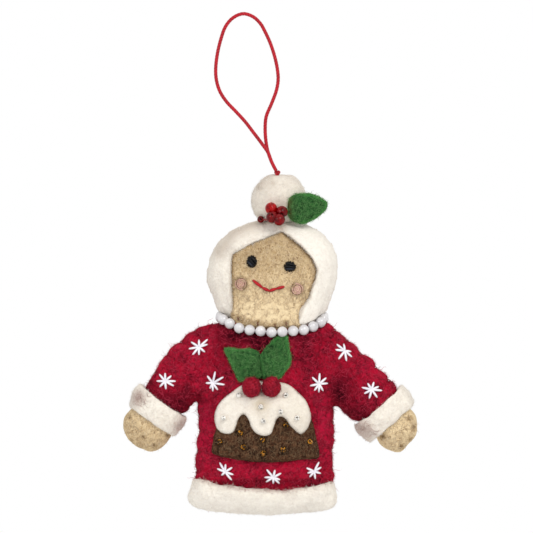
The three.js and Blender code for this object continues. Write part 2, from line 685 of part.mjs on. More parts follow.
const pearlBodies = pearlPlaces.map((place, i) => {
  const next = pearlPlaces[(i + 1) % pearlCount];
  const link = new THREE.CylinderGeometry(
    pearlThreadDiameter / 2,
    pearlThreadDiameter / 2,
    place.distanceTo(next),
    5,
  );
  const way = next.clone().sub(place).normalize();
  link.applyQuaternion(new THREE.Quaternion().setFromUnitVectors(new THREE.Vector3(0, 1, 0), way));
  const middle = place.clone().add(next).multiplyScalar(0.5);
  link.translate(middle.x, middle.y, middle.z);
  return solid(ball(pearlDiameter, place, pearlSides, pearlRings)).add(solid(link));
});
piece('pearl_string', geometryOf(join(pearlBodies)), pearl);

export default ornament;
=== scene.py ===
import math
import bpy
import numpy as np
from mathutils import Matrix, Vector
from mathutils.geometry import delaunay_2d_cdt


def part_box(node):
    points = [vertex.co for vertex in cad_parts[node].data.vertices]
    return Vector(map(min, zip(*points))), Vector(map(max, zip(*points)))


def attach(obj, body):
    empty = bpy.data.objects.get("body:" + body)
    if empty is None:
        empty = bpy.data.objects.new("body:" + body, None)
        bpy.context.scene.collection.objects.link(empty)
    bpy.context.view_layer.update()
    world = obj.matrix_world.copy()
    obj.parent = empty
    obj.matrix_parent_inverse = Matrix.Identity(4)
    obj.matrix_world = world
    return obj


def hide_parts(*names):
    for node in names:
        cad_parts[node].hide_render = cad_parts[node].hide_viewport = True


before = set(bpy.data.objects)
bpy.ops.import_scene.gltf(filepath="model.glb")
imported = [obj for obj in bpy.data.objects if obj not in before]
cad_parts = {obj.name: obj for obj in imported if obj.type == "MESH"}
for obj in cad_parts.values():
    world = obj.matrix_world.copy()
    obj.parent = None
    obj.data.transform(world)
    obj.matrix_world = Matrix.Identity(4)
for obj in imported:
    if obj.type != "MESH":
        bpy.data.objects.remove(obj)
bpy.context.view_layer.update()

# The view. The ornament hangs before white, seen straight from the front in the soft, even light of a
# shop photograph. The small floor lies well below the hands, where only a raised view shows it. Lengths
# are in millimetres from here on, unless a line says metres, and put turns them into metres.
mm = 0.001
chest = Vector((8.1, 0, -93.5)) * mm
camera_distance, shown_width, sensor_width = 3000 * mm, 197.2 * mm, 36
camera = bpy.data.objects.new("camera", bpy.data.cameras.new("camera"))
camera.data.sensor_width = sensor_width
camera.data.lens = sensor_width * camera_distance / shown_width
camera.location = chest - Vector((0, camera_distance, 0))
camera.rotation_euler = (math.pi / 2, 0, 0)
bpy.context.scene.collection.objects.link(camera)
bpy.context.scene.camera = camera
bpy.context.scene.view_settings.view_transform = "Standard"


def lamp(name, place, size, watts, tint):
    """A soft square lamp at its place in metres, turned to the chest."""
    made = bpy.data.objects.new(name, bpy.data.lights.new(name, "AREA"))
    made.data.size = size
    made.data.energy = watts
    made.data.color = tint
    made.location = place
    made.rotation_euler = (chest - Vector(place)).to_track_quat("-Z", "Y").to_euler()
    bpy.context.scene.collection.objects.link(made)


lamp("lamp_above_right", (0.35, -0.75, 0.45), 0.5, 4.3, (1, 0.98, 0.95))
lamp("lamp_left", (-0.45, -0.6, 0.12), 0.2, 1.1, (0.96, 0.97, 1))


class Strand:
    """One value in a shader. Sums, differences and products add Math nodes."""

    def __init__(self, tree, socket=None):
        self.tree, self.socket = tree, socket

    def fill(self, made, sockets):
        """Sockets of a node by name or number, each with its value or the strand that is linked to it."""
        for name, value in sockets.items():
            if isinstance(value, Strand):
                self.tree.links.new(value.socket, made.inputs[name])
            else:
                made.inputs[name].default_value = value

    def node(self, kind, sockets, out=0, **settings):
        """One output of a new node of this kind, with its settings and its filled sockets."""
        made = self.tree.nodes.new(kind)
        for name, value in settings.items():
            setattr(made, name, value)
        self.fill(made, sockets)
        return Strand(self.tree, made.outputs[out])

    def out(self, name):
        """Another output of the node that this value comes from."""
        return Strand(self.tree, self.socket.node.outputs[name])

    def maths(self, operation, *values):
        return self.node("ShaderNodeMath", dict(enumerate(values)), operation=operation)

    def __add__(self, other):
        return self.maths("ADD", self, other)

    def __radd__(self, other):
        return self.maths("ADD", other, self)

    def __sub__(self, other):
        return self.maths("SUBTRACT", self, other)

    def __rsub__(self, other):
        return self.maths("SUBTRACT", other, self)

    def __mul__(self, other):
        return self.maths("MULTIPLY", self, other)

    def __abs__(self):
        return self.maths("ABSOLUTE", self)

    def held(self):
        """The value, held between 0 and 1."""
        return self.node("ShaderNodeClamp", {0: self})

    def between(self, low, high):
        """The colour that lies this far from one colour to another."""
        return self.node("ShaderNodeMix", {0: self, 6: low, 7: high}, 2, data_type="RGBA")

    def noise(self, scale, detail=2, out=0, rough=0.5):
        """A noise at this place, with so many waves in a metre."""
        sockets = {"Vector": self, "Scale": scale, "Detail": detail, "Roughness": rough}
        return self.node("ShaderNodeTexNoise", sockets, out)

    def mask(self, name):
        """A mask that the mesh carries."""
        return self.node("ShaderNodeAttribute", {}, "Fac", attribute_name=name)


backdrop_light, room_light = 1, 0.7
room = bpy.data.worlds.new("white_room")
room.use_nodes = True
bpy.context.scene.world = room
ray = Strand(room.node_tree).node("ShaderNodeLightPath", {}, "Is Camera Ray")
in_sight = ray.maths("MAXIMUM", ray, ray.out("Is Glossy Ray"))
in_sight = in_sight.maths("MAXIMUM", in_sight, ray.out("Is Transmission Ray"))
ray.fill(room.node_tree.nodes["Background"], {
    "Color": (1, 1, 1, 1), "Strength": in_sight * (backdrop_light - room_light) + room_light})


def surface(name, slot, look):
    """A finish: a material, and the name of a slot, which put only uses to tell whether a piece rides a
    body. The look gives the sockets of its shader from the place in the object's own frame."""
    material = bpy.data.materials.new(name)
    material.use_nodes = True
    start = Strand(material.node_tree)
    place = start.node("ShaderNodeTexCoord", {}, "Object")
    start.fill(material.node_tree.nodes["Principled BSDF"], look(place))
    return material, slot


def put(name, form, finish, stands_for=(), body="figure", **masks):
    """A smooth mesh object of a form: its points in millimetres and its faces in groups of one size. If
    its volume, the sum of its faces' corner products, is negative, it is turned right side out. If its
    finish has a slot, it rides its body, and the CAD nodes that it stands for are hidden."""
    (points, faces), (material, slot) = form, finish
    arm = points - points.mean(0)
    volume = sum((arm[group[:, 0]] * np.cross(arm[group[:, i]], arm[group[:, i + 1]])).sum()
                 for group in faces for i in range(1, group.shape[1] - 1))
    if volume < 0:
        faces = [group[:, ::-1] for group in faces]
    mesh = bpy.data.meshes.new(name)
    mesh.vertices.add(len(points))
    mesh.vertices.foreach_set("co", (mm * points).astype(np.float32).ravel())
    corners = np.concatenate([group.ravel() for group in faces]).astype(np.int32)
    sizes = np.concatenate([np.full(len(group), group.shape[1]) for group in faces])
    mesh.loops.add(len(corners))
    mesh.loops.foreach_set("vertex_index", corners)
    mesh.polygons.add(len(sizes))
    mesh.polygons.foreach_set("loop_start", (np.cumsum(sizes) - sizes).astype(np.int32))
    mesh.polygons.foreach_set("use_smooth", np.ones(len(sizes), bool))
    mesh.update(calc_edges=True)
    for mask, values in masks.items():
        mesh.attributes.new(mask, "FLOAT", "POINT").data.foreach_set("value", np.asarray(values, np.float32))
    mesh.materials.append(material)
    made = bpy.data.objects.new(name, mesh)
    bpy.context.scene.collection.objects.link(made)
    if slot:
        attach(made, body)
        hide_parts(*stands_for)
    return made


floor_half, floor_height = 190, -225
paper = surface("white_paper", None, lambda place: {
    "Base Color": place.node("ShaderNodeTexNoise", {"Scale": 40, "Detail": 3}).between(
        (0.9, 0.9, 0.9, 1), (0.94, 0.94, 0.94, 1)),
    "Roughness": 0.9})
floor_corners = floor_half * np.array([(-1, -1, 0), (1, -1, 0), (1, 1, 0), (-1, 1, 0)]) + (0, 0, floor_height)
put("floor", (floor_corners, [np.array([[0, 1, 2, 3]])]), paper)

# The hanging cord. One limp red cord, laid of three plies, runs up from the knot, over the hook's
# place at the origin and down again behind its own start, and both its ends are tied into the knot.
cord_thickness, cord_pitch, cord_sides = 1.25, 3.4, 18
cord_route = np.array([
    [11.7, -0.75, -58.1], [11.4, -0.8, -57.6], [9.9, -0.8, -54.6], [8.7, -0.8, -51.4], [6.5, -0.8, -48.2],
    [3.4, -0.5, -44.1], [0.1, 0, -39.8], [-3.3, 0, -36.1], [-6.7, 0, -32.5], [-9.1, 0, -28.8],
    [-10.4, 0, -24.7], [-10.7, 0, -20.6], [-10.1, 0, -15], [-8.7, 0, -9.1], [-7.1, 0, -4.8],
    [-4.9, 0, -2], [-2.3, 0, -0.4], [0, 0, 0], [3.3, 0, -1.2], [5.9, 0, -3.7], [7.5, 0, -6.5],
    [9.7, 0, -11.4], [11.4, 0, -16.9], [12.2, 0, -21.1], [12.4, 0, -24.4], [11.8, 0, -28.2],
    [9.9, 0, -33.4], [8, 0.2, -38], [7.6, 0.5, -42.3], [7.9, 0.8, -47.2], [8.6, 0.8, -50.9],
    [9.9, 0.8, -54.6], [11.4, 0.8, -57.6], [11.7, 0.75, -58.1],
])


def drawn(corners, steps, closed=False):
    """A smooth curve through the corners: a cubic on each stretch, whose slopes at its two ends come
    from the corners on both sides, weighted by the root of their distance."""
    corners = np.asarray(corners, float)
    if closed:
        wider = np.vstack([corners[-1:], corners, corners[:2]])
    else:
        wider = np.vstack([2 * corners[:1] - corners[1:2], corners, 2 * corners[-1:] - corners[-2:-1]])
    before, start, end, after = (wider[i:len(wider) - 3 + i] for i in range(4))
    gap = np.linalg.norm(np.diff(wider, axis=0), axis=1)[:, None] ** 0.5
    a, b, c = gap[:-2], gap[1:-1], gap[2:]
    leave = b * ((start - before) / a - (end - before) / (a + b) + (end - start) / b)
    arrive = b * ((end - start) / b - (after - start) / (b + c) + (after - end) / c)
    t = (np.arange(steps) / steps)[None, :, None]
    start, end, leave, arrive = (part[:, None] for part in (start, end, leave, arrive))
    curve = start + leave * t + (3 * (end - start) - 2 * leave - arrive) * t ** 2
    curve = (curve + (2 * (start - end) + leave + arrive) * t ** 3).reshape(-1, corners.shape[1])
    return curve if closed else np.vstack([curve, corners[-1:]])


def along(curve):
    """How far along the curve each of its points lies."""
    return np.concatenate([[0], np.cumsum(np.linalg.norm(np.diff(curve, axis=0), axis=1))])


def evenly(curve, count):
    """The curve again, as this many points at even distances."""
    way = along(curve)
    at = np.linspace(0, way[-1], count)
    return np.stack([np.interp(at, way, axis) for axis in curve.T], 1)


def circle(count):
    """So many angles at even steps round a circle."""
    return 2 * np.pi * np.arange(count) / count


def lattice(rows, columns, rows_close, columns_close):
    """The four-cornered faces of a grid of points, which may close on itself either way."""
    number = np.arange(rows * columns).reshape(rows, columns)
    if rows_close:
        number = np.vstack([number, number[:1]])
    if columns_close:
        number = np.hstack([number, number[:, :1]])
    here, right, up, far = number[:-1, :-1], number[:-1, 1:], number[1:, :-1], number[1:, 1:]
    return np.stack([here, right, far, up], -1).reshape(-1, 4)


def unit(vectors):
    """The vectors at length 1."""
    return vectors / np.maximum(np.linalg.norm(vectors, axis=-1, keepdims=True), 1e-9)


def tube(path, radius, sides, aside, closed=False):
    """A tube. Each ring lies across the path, at its radius, and its angle is counted from a direction
    that the path never takes. The ends are closed by one face each, unless the path closes."""
    slope = unit(np.roll(path, -1, 0) - np.roll(path, 1, 0) if closed else np.gradient(path, axis=0))
    first = unit(aside - (aside * slope).sum(1, keepdims=True) * slope)
    angle = circle(sides)[:, None]
    round_it = np.cos(angle) * first[:, None] + np.sin(angle) * np.cross(slope, first)[:, None]
    radius = np.asarray(radius) if np.ndim(radius) > 1 else np.asarray(radius)[..., None]
    faces = [lattice(len(path), sides, closed, True)]
    if not closed:
        ring = np.arange(sides)
        faces.append(np.stack([ring[::-1], ring + (len(path) - 1) * sides]))
    return (path[:, None] + radius[..., None] * round_it).reshape(-1, 3), faces


def plied(length, sides, plies, pitch):
    """The relief of laid plies on a tube, 1 on a ply's back and 0 between two plies, that turn once in a pitch."""
    return np.abs(np.cos(plies / 2 * (circle(sides) - 2 * np.pi * length[:, None] / pitch)))


def dye(card):
    """A colour's red, green and blue, read off a card from 0 to 255, in the linear light of a shader."""
    card = np.array(card) / 255
    return (*np.where(card > 0.04045, ((card + 0.055) / 1.055) ** 2.4, card / 12.92).tolist(), 1)


def thread(name, slot, colour, deep, roughness=0.65, sheen=0.3, gloss=0.3):
    """Thread or cord: darker by a mask that its mesh carries, mostly painted shade in grooves and on
    flanks, with fine hairs as a stretched noise.
    """
    def look(place):
        hairs, cloud = place.noise(2700, 3), place.noise(300)
        dark = (place.mask("groove") * 0.75 + (0.62 - hairs) * 1.3 + (0.5 - cloud) * 0.7).held()
        bump = place.node("ShaderNodeBump", {"Strength": 0.5, "Distance": 0.1 * mm, "Height": hairs})
        return {"Base Color": dark.between(dye(colour), dye(deep)), "Normal": bump, "Roughness": roughness,
                "Specular IOR Level": gloss, "Sheen Weight": sheen, "Sheen Roughness": 0.4}
    return surface(name, slot, look)


red_cord = thread("red_cord", "cord_red", (194, 18, 38), (108, 4, 16))
cord_line = evenly(drawn(cord_route, 24), 520)
cord_plies = plied(along(cord_line), cord_sides, 3, cord_pitch)
cord_form = tube(cord_line, cord_thickness / 2 * (0.98 + 0.1 * cord_plies), cord_sides, (0, 1, 0))
# Painted shade in the grooves between the plies.
hang_cord = put("hanging_cord", cord_form, red_cord, ["hang_cord"], "hanger", groove=(1 - cord_plies).ravel() ** 2)

# The cord's knot. The two ends make one small overhand knot, pulled tight on top of the bobble, and
# the cord leaves its top.
knot_place, knot_size, knot_cord, knot_steps, knot_sides = np.array([12.1, 0, -58.9]), 0.27, 0.42, 120, 12
turn = circle(knot_steps)
knot_line = knot_place + knot_size * np.stack([
    np.sin(turn) + 2 * np.sin(2 * turn), -1.1 * np.sin(3 * turn), np.cos(turn) - 2 * np.cos(2 * turn)], 1)
# Painted shade on two opposite sides of the knot's cord.
put("cord_knot_turns", tube(knot_line, knot_cord, knot_sides, knot_line - knot_place, closed=True), red_cord,
    ["cord_knot"], "knot", groove=np.tile(np.abs(np.sin(circle(knot_sides))), knot_steps) * 0.5)

# The hood. Two domed panels of thick cream felt meet in a seam over the head and round its sides. The
# front one is cut open for the face, to a point at the top with a small pleat above it, and the
# cut edge is turned in a little against the face.
opening = np.array([
    [-4.9, -112.5], [-4.5, -108.5], [-5.1, -100.9], [-4.9, -92.4], [-4.5, -88.9], [1, -86], [5.3, -83.7],
    [9.5, -82.2], [13.8, -80.7], [17.2, -83], [21.4, -86.8], [24.8, -90.7], [26.8, -94.9], [26.1, -98.3],
    [24.4, -102.1], [24, -105.1], [21.4, -108.5], [20, -112.5],
])
pearl_line = np.array([
    [-8.9, 0.2, -112], [-8.6, -3.9, -112.6], [-7.4, -7.3, -113.4], [-4.9, -9.5, -114.8], [-1.9, -10.5, -116.2],
    [2, -11.1, -116.9], [6.1, -11.5, -117.3], [10.3, -11.6, -117.7], [14.3, -11.3, -117.5], [18.2, -10.9, -117.2],
    [22.1, -9.9, -116.8], [25.4, -8.2, -115.6], [27.8, -6.3, -114.3], [28.9, -3.6, -113.2], [29.2, 0.5, -112.2],
    [28.3, 4.5, -111.4], [26, 8, -111], [21.5, 10.8, -111], [16, 12.3, -111], [10, 12.9, -111],
    [4, 12.3, -111], [-1.5, 10.6, -111], [-5.6, 7.8, -111.2], [-8, 4.2, -111.6]])
pearl_line = drawn(pearl_line, 10, closed=True)
pearl_radius = 2.0


def together(forms):
    """Several forms as one."""
    groups, count = {}, 0
    for points, faces in forms:
        for group in faces:
            groups.setdefault(group.shape[1], []).append(group + count)
        count += len(points)
    return np.concatenate([points for points, _ in forms]), [np.concatenate(group) for group in groups.values()]


def read(items, field, width, kind=float):
    """A field of all the items of a mesh, as rows of this width."""
    values = np.empty(len(items) * width, kind)
    items.foreach_get(field, values)
    return values.reshape(-1, width)


def outward(points, faces):
    """Unit normals at the points: the sum of the cross products of the diagonals of the faces round each."""
    total = np.zeros_like(points)
    for group in faces:
        cross = np.cross(points[group[:, -2]] - points[group[:, 0]], points[group[:, -1]] - points[group[:, 1]])
        for axis in range(3):
            total[:, axis] += np.bincount(group.ravel(), np.repeat(cross[:, axis], group.shape[1]), len(points))
    return unit(total)


def cad_bodies(names, swell):
    """The merged points and triangles of CAD nodes, each body swollen along its normals by as much as
    closes the small gap to its neighbours."""
    bodies = []
    for name in names:
        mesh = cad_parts[name].data
        mesh.calc_loop_triangles()
        microns = np.round(read(mesh.vertices, "co", 3) * 1e6).astype(np.int64)
        microns, same = np.unique(microns, axis=0, return_inverse=True)
        points = microns / 1000
        faces = same.ravel()[read(mesh.loop_triangles, "vertices", 3, np.int32)]
        faces = [faces[(faces != np.roll(faces, 1, 1)).all(1)]]
        bodies.append((points + swell * outward(points, faces), faces))
    return together(bodies)


def skinned(points, faces, cell):
    """One closed skin of small squares round bodies that meet, by Blender's voxel remesh."""
    mesh = bpy.data.meshes.new("bodies")
    mesh.from_pydata((mm * points).tolist(), [], faces[0].tolist())
    made = bpy.data.objects.new("bodies", mesh)
    bpy.context.scene.collection.objects.link(made)
    remesh = made.modifiers.new("skin", "REMESH")
    remesh.mode = "VOXEL"
    remesh.voxel_size = mm * cell
    skin = made.evaluated_get(bpy.context.evaluated_depsgraph_get()).to_mesh()
    points, corners = read(skin.vertices, "co", 3) / mm, read(skin.loops, "vertex_index", 1, np.int32)
    bpy.data.objects.remove(made)
    bpy.data.meshes.remove(mesh)
    return points, [corners.reshape(-1, 4)]


def softened(points, faces, steps):
    """The form without its facets: each step moves every point halfway to the middle of its neighbours,
    and what that took from the broad form is softened as well and given back."""
    here, there = faces[0].ravel(), np.roll(faces[0], -1, axis=1).ravel()
    here, there = np.concatenate([here, there]), np.concatenate([there, here])
    near = np.bincount(here)[:, None]

    def relaxed(values):
        for _ in range(steps):
            middle = np.stack([np.bincount(here, axis[there]) for axis in values.T], 1) / near
            values = (values + middle) / 2
        return values

    soft = relaxed(points)
    return soft + relaxed(points - soft)


def dented(points, faces, depth, width, seed):
    """Soft dents: the points move along their normals by a sum of twelve waves in random directions."""
    chance = np.random.default_rng(seed)
    ways = 2 * np.pi / width * unit(chance.normal(size=(12, 3)))
    waves = np.sin(points @ ways.T + chance.uniform(0, 2 * np.pi, 12)).sum(1) / 12 ** 0.5
    return points + depth * waves[:, None] * outward(points, faces)


def stuffed(names, steps, depth, width, seed, cell=0.5):
    """CAD solids as one soft, filled form: swollen until they meet, skinned, softened in so many steps,
    and dented by a depth and a width."""
    swell = 0.22
    points, faces = skinned(*cad_bodies(names, swell), cell)
    points = softened(points, faces, steps)
    points = points - swell * outward(points, faces)
    return dented(points, faces, depth, width, seed), faces


def bell(value, width):
    """A bell curve over the value, 1 at 0 and 0.37 at the width."""
    return np.exp(-(value / width) ** 2)


def ramp(value, width=1):
    """The value's share of the width, held between 0 and 1."""
    return np.clip(value / width, 0, 1)


def from_line(places, line):
    """How far each place lies from a line of corners, both seen in X and Z, and how far along the line
    its nearest point is."""
    places, line = places[:, [0, -1]], np.asarray(line, float)
    start, step = line[:-1], np.diff(line, axis=0)
    part = np.clip(((places[:, None] - start) * step).sum(2) / (step ** 2).sum(1), 0, 1)
    gap = np.linalg.norm(places[:, None] - start - part[:, :, None] * step, axis=2)
    best, row = gap.argmin(1), np.arange(len(places))
    return gap[row, best], along(line)[best] + part[row, best] * np.linalg.norm(step[best], axis=1)


def beside(points, line, width):
    """A bell curve across a line of corners in X and Z."""
    return bell(from_line(points, line)[0], width)


def felt(name, slot, colours, stain, below_zero_colour, curl=1.0, contrast=0.35, mottle=1.0, flecks=None, scale=1.0):
    """Felt. A slow noise and a finer, warped one give the mottle of its wool, from deep to its colour.
    Its fibres are the thin lines where two more noises pass through their middle, paler than the wool.
    Flecks are the peaks of another noise. A mask on the mesh blends in one colour, or below 0 another:
    on most pieces these are painted shade and painted light."""
    colour, pale, deep, stain, below_zero_colour = (dye(card) for card in (*colours, stain, below_zero_colour))

    def look(place):
        drift, bend = place.noise(420 * scale, 1, "Color"), (2.4 * mm * curl / scale,) * 3
        curled = place.node("ShaderNodeVectorMath", {0: drift, 1: bend, 2: place}, operation="MULTIPLY_ADD")
        broad, fine = curled.noise(560 * scale), curled.noise(1300 * scale)
        wool, cloud = curled.noise(800 * scale, 4, rough=0.65), place.noise(150 * scale, 3)
        lines = (1 - abs(broad - 0.5) * 12).held() * 0.7 + (1 - abs(fine - 0.5) * 9).held() * 0.5
        ground = (0.62 + (cloud - 0.5) * 1.6 * mottle + (wool - 0.5) * 2.6 * mottle).held().between(deep, colour)
        shown = (lines * contrast).held().between(ground, pale)
        if flecks:
            threshold, strength, fleck = flecks
            speck = curled.noise(1700 * scale, 1)
            shown = ((speck - threshold) * 6 * strength).held().between(shown, dye(fleck))
        patchy = place.mask("stain") * (0.5 + wool)
        shown = (0 - patchy).held().between(patchy.held().between(shown, stain), below_zero_colour)
        raised = lines * 0.5 + wool * 0.8
        bump = place.node("ShaderNodeBump", {"Strength": 0.6, "Distance": 0.35 * mm, "Height": raised})
        return {"Base Color": shown, "Normal": bump, "Roughness": 0.95, "Specular IOR Level": 0.08,
                "Sheen Weight": 0.12, "Sheen Roughness": 0.5, "Sheen Tint": pale}
    return surface(name, slot, look)


def wisps(name, slot, low, high):
    """Loose fibres: each one has its own shade between two, and a little noise along it."""
    return surface(name, slot, lambda place: {
        "Base Color": (place.mask("shade") + place.noise(900) * 0.4 - 0.2).held().between(dye(low), dye(high)),
        "Roughness": 0.85, "Specular IOR Level": 0.12})


def spun(name, lines, width, aside, chance, finish):
    """Three-sided strands along many lines at once, each in a random shade. Each ring lies across its
    line, and its half width falls from full to a fifth as the cube of the way along."""
    count, steps = lines.shape[:2]
    slope = np.gradient(lines, axis=1)
    first = unit(np.cross(slope, aside))
    second = unit(np.cross(slope, first))
    thick = width / 2 * (1 - 0.8 * np.linspace(0, 1, steps) ** 3)[None, :, None]
    points = np.stack([lines + thick * (math.cos(at) * first + math.sin(at) * second) for at in circle(3)], 2)
    start = (3 * steps * np.arange(count))[:, None, None]
    ends = np.array([[2, 1, 0], [3 * steps - 3, 3 * steps - 2, 3 * steps - 1]])
    faces = [(start + lattice(steps, 3, False, True)).reshape(-1, 4), (start + ends).reshape(-1, 3)]
    put(name, (points.reshape(-1, 3), faces), finish, shade=np.repeat(chance.random(count), 3 * steps))


def sown(points, faces, count, chance, keep):
    """Random places on the first group of faces, by their area and a mask, with the normals there."""
    corners = faces[0] if faces[0].shape[1] == 3 else np.concatenate([faces[0][:, :3], faces[0][:, [0, 2, 3]]])
    a, b, c = (points[corners[:, k]] for k in range(3))
    area = np.linalg.norm(np.cross(b - a, c - a), axis=1)
    total = np.cumsum(area * np.broadcast_to(keep, len(points))[corners].mean(1))
    picked = corners[np.searchsorted(total, chance.random(count) * total[-1])]
    share = chance.dirichlet((1, 1, 1), count)[:, :, None]
    return (points[picked] * share).sum(1), unit((outward(points, faces[:1])[picked] * share).sum(1))


def fuzz(name, form, count, length, lie, seed, finish, keep=1.0, width=0.075):
    """Loose fibres on a surface. Each leaves its root along the normal, or lies over by its share of a
    random direction along the surface, and bends to one side on its way."""
    chance = np.random.default_rng(seed)
    root, normal = sown(*form, count, chance, keep)
    aside = unit(np.cross(normal, chance.normal(size=(count, 3))))
    across = np.cross(normal, aside)
    lean = lie * chance.uniform(0.6, 1.2, (count, 1))
    reach = length * chance.uniform(0.4, 1.3, (count, 1))
    way = (1 - lean) * normal + lean * aside
    bend = across * chance.normal(size=(count, 1)) * 0.45 - 0.25 * lean * normal
    step = np.array([0, 0.55, 1])[None, :, None]
    lines = (root - 0.08 * normal)[:, None] + reach[:, None] * (way[:, None] * step + bend[:, None] * step ** 2)
    spun(name, lines, width, across[:, None], chance, finish)


def headed(angle):
    """The unit directions in X and Z at these angles."""
    return np.stack([np.cos(angle), np.sin(angle)], -1)


def at_depth(flat, depth):
    """The points at these places in X and Z and this depth along Y."""
    return np.stack([flat[..., 0], depth, flat[..., 1]], -1)


def pressed(points):
    """The points, with those nearer to the pearls' line than their radius and a clearance moved straight
    away from it to that distance."""
    clearance = 0.1
    radius = pearl_radius + clearance
    near = ((points > pearl_line.min(0) - radius) & (points < pearl_line.max(0) + radius)).all(1)
    way = points[near][:, None] - pearl_line
    gap = np.linalg.norm(way, axis=2)
    best, row = gap.argmin(1), np.arange(len(gap))
    moved = points.copy()
    moved[near] += np.maximum(radius / gap[row, best] - 1, 0)[:, None] * way[row, best]
    return moved


def drooped(points, low, high, down, forward):
    """The front between two places in X, hanging over the neck: below 104.5 mm the points go down and
    forward, eased in by 3 t² - 2 t³ over 8.5 mm."""
    x, y, z = points.T
    part = ramp(-104.5 - z, 8.5)
    part = part ** 2 * (3 - 2 * part) * ramp(x - low, 2) * ramp(high - x, 2) * ramp(-2 - y, 4)
    return points + part[:, None] * np.array([0, -forward, -down])


def overcast(points, line, ways, radius):
    """Stitches over an edge. At each way along a line in X and Z beside the edge, a strand runs from front
    to back through the outermost points near it, at seven depths within 1.7 mm of the seam's plane."""
    length, depths, forms = along(line), np.linspace(-1.7, 1.7, 7), []
    for way in ways:
        spot, ahead = (np.array([np.interp(way + step, length, axis) for axis in line.T]) for step in (0, 0.2))
        tangent = unit(ahead - spot)
        out = np.array([-tangent[1], tangent[0]])
        flat = points[:, [0, 2]] - spot
        near = (abs(flat @ tangent) < 0.7) & (abs(flat @ out) < 5)
        out = out * (-1 if (flat[near] @ out).mean() > 0 else 1)
        reach = [(flat[near & (abs(points[:, 1] - depth) < 0.45)] @ out).max() for depth in depths]
        path = spot + out * (np.array(reach)[:, None] - 0.02) + tangent * depths[:, None] * 0.3
        forms.append(tube(at_depth(path, depths), radius, 6, (tangent[0], 0, tangent[1])))
    return forms


cream = (245, 238, 224), (253, 249, 241), (218, 206, 194)
# Its darker marked colour is painted shade on the hood and real smudges on the bobble; its lighter one is painted light
# on the hood.
cream_felt = felt("cream_felt", "felt_cream", cream, (144, 118, 92), (252, 247, 238), curl=0.7, mottle=0.7)
cream_wisps = wisps("cream_wisps", "felt_cream", (228, 220, 208), (255, 253, 248))
hood_centre = np.array([10.1, -95])
points, faces = stuffed(["hood_front", "hood_back"], steps=14, depth=0.12, width=9, seed=11)
points = drooped(points, 18.5, 29.0, 1.9, 1.6)
x, y, z = points.T.copy()
gathered = ramp(-108.3 - z, 4.2) ** 1.5 * np.where(x < 10, 0.12, 0.035) * ramp(abs(x - hood_centre[0]) - 13.5, 4)
points[:, 0] -= (x - hood_centre[0]) * gathered
lip = beside(points, [[22.3, -107.5], [21.2, -110.0], [20.8, -114.4]], 2.6) * ramp(-106 - z, 4)
points[:, 0] -= 1.3 * lip * (y < -1)
points = pressed(points)
crease = bell(points[:, 1], 0.5) - 0.4 * bell(abs(points[:, 1]) - 1.3, 1)
points = points - 0.28 * crease[:, None] * outward(points, faces)
hood, front_side = (points, faces), points[:, 1] < -2
rim, way = from_line(points, opening)
# Painted shade along the face's opening, where the hood's edge stands over the face, except on its upper left edge;
# painted shade in the pleat above its point and on the hood's upper left.
opening_shade = np.interp(way, [0, 22, 27, 43, 46, 78], [0.4, 0.4, 0.0, 0.0, 0.5, 0.4])
stain = bell(rim, 0.6) * opening_shade + 0.45 * beside(points, [[13.6, -79.6], [12.3, -76.4]], 1.5)
stain = stain * front_side + np.where(front_side, 0.4, 0.15) * beside(
    points, [[-9.5, -88.0], [-4.0, -80.5], [4.0, -77.5]], 3)
# Where the hood has no painted shade, it has painted light, the more the further right.
stain = np.where(stain > 0.04, stain, -0.5 * ramp(points[:, 0], 20))
put("hood_felt", hood, cream_felt, ["hood_front", "hood_back"], stain=stain)
fuzz("hood_wisps", hood, 9000, 0.9, 0.75, 12, cream_wisps)
fuzz("opening_wisps", hood, 2600, 1.5, 0.75, 13, cream_wisps, bell(rim, 0.9) * front_side)
fuzz("brow_wisps", hood, 900, 2.2, 0.85, 14, cream_wisps, bell(rim, 1) * front_side * (abs(way - 34) < 10))

turns = np.radians(np.arange(-40, 221, 3))
arm = points[:, [0, 2]] - hood_centre
angle, reach = np.arctan2(arm[:, 1], arm[:, 0]), np.linalg.norm(arm, axis=1)
edge = np.array([reach[abs((angle - turn + np.pi) % (2 * np.pi) - np.pi) < 0.04].max() for turn in turns])
edge = hood_centre + edge[:, None] * headed(turns)
cream_thread = thread("cream_thread", "felt_cream", (240, 230, 216), (190, 174, 158))
put("hood_seam_stitches", together(overcast(points, edge, np.arange(2.0, along(edge)[-1] - 1, 4.2), 0.2)), cream_thread)

# The face. The head is a bag of tan felt full of wadding, which the hood holds all round, so that
# only the front shows. The felt has short brown flecks, and it is gathered under the chin.
tan = (211, 185, 143), (236, 213, 172), (178, 149, 108)
# Its darker marked colour is painted shade and its lighter one painted light, on the face and the hands.
tan_felt = felt("tan_felt", "felt_tan", tan, (112, 82, 50), (250, 229, 188), curl=0.8, contrast=0.7, mottle=1.2,
                flecks=(0.55, 0.8, (138, 108, 78)))
tan_wisps = wisps("tan_wisps", "felt_tan", (166, 134, 98), (248, 230, 196))


def within(places, outline):
    """Whether each place lies inside a closed outline in X and Z: a ray to its right crosses it an odd
    number of times."""
    x, z = places[:, :1], places[:, -1:]
    start, end = outline, np.roll(outline, -1, 0)
    spans = (start[:, 1] > z) != (end[:, 1] > z)
    rise = np.where(end[:, 1] == start[:, 1], 1, end[:, 1] - start[:, 1])
    crossing = start[:, 0] + (z - start[:, 1]) * (end[:, 0] - start[:, 0]) / rise
    return (spans & (x < crossing)).sum(1) % 2 == 1


def round_cells(grid, **border):
    """The nine cells round each cell of a grid, as nine grids."""
    wide, (rows, columns) = np.pad(grid, 1, **border), grid.shape
    return np.stack([wide[i:i + rows, j:j + columns] for i in range(3) for j in range(3)])


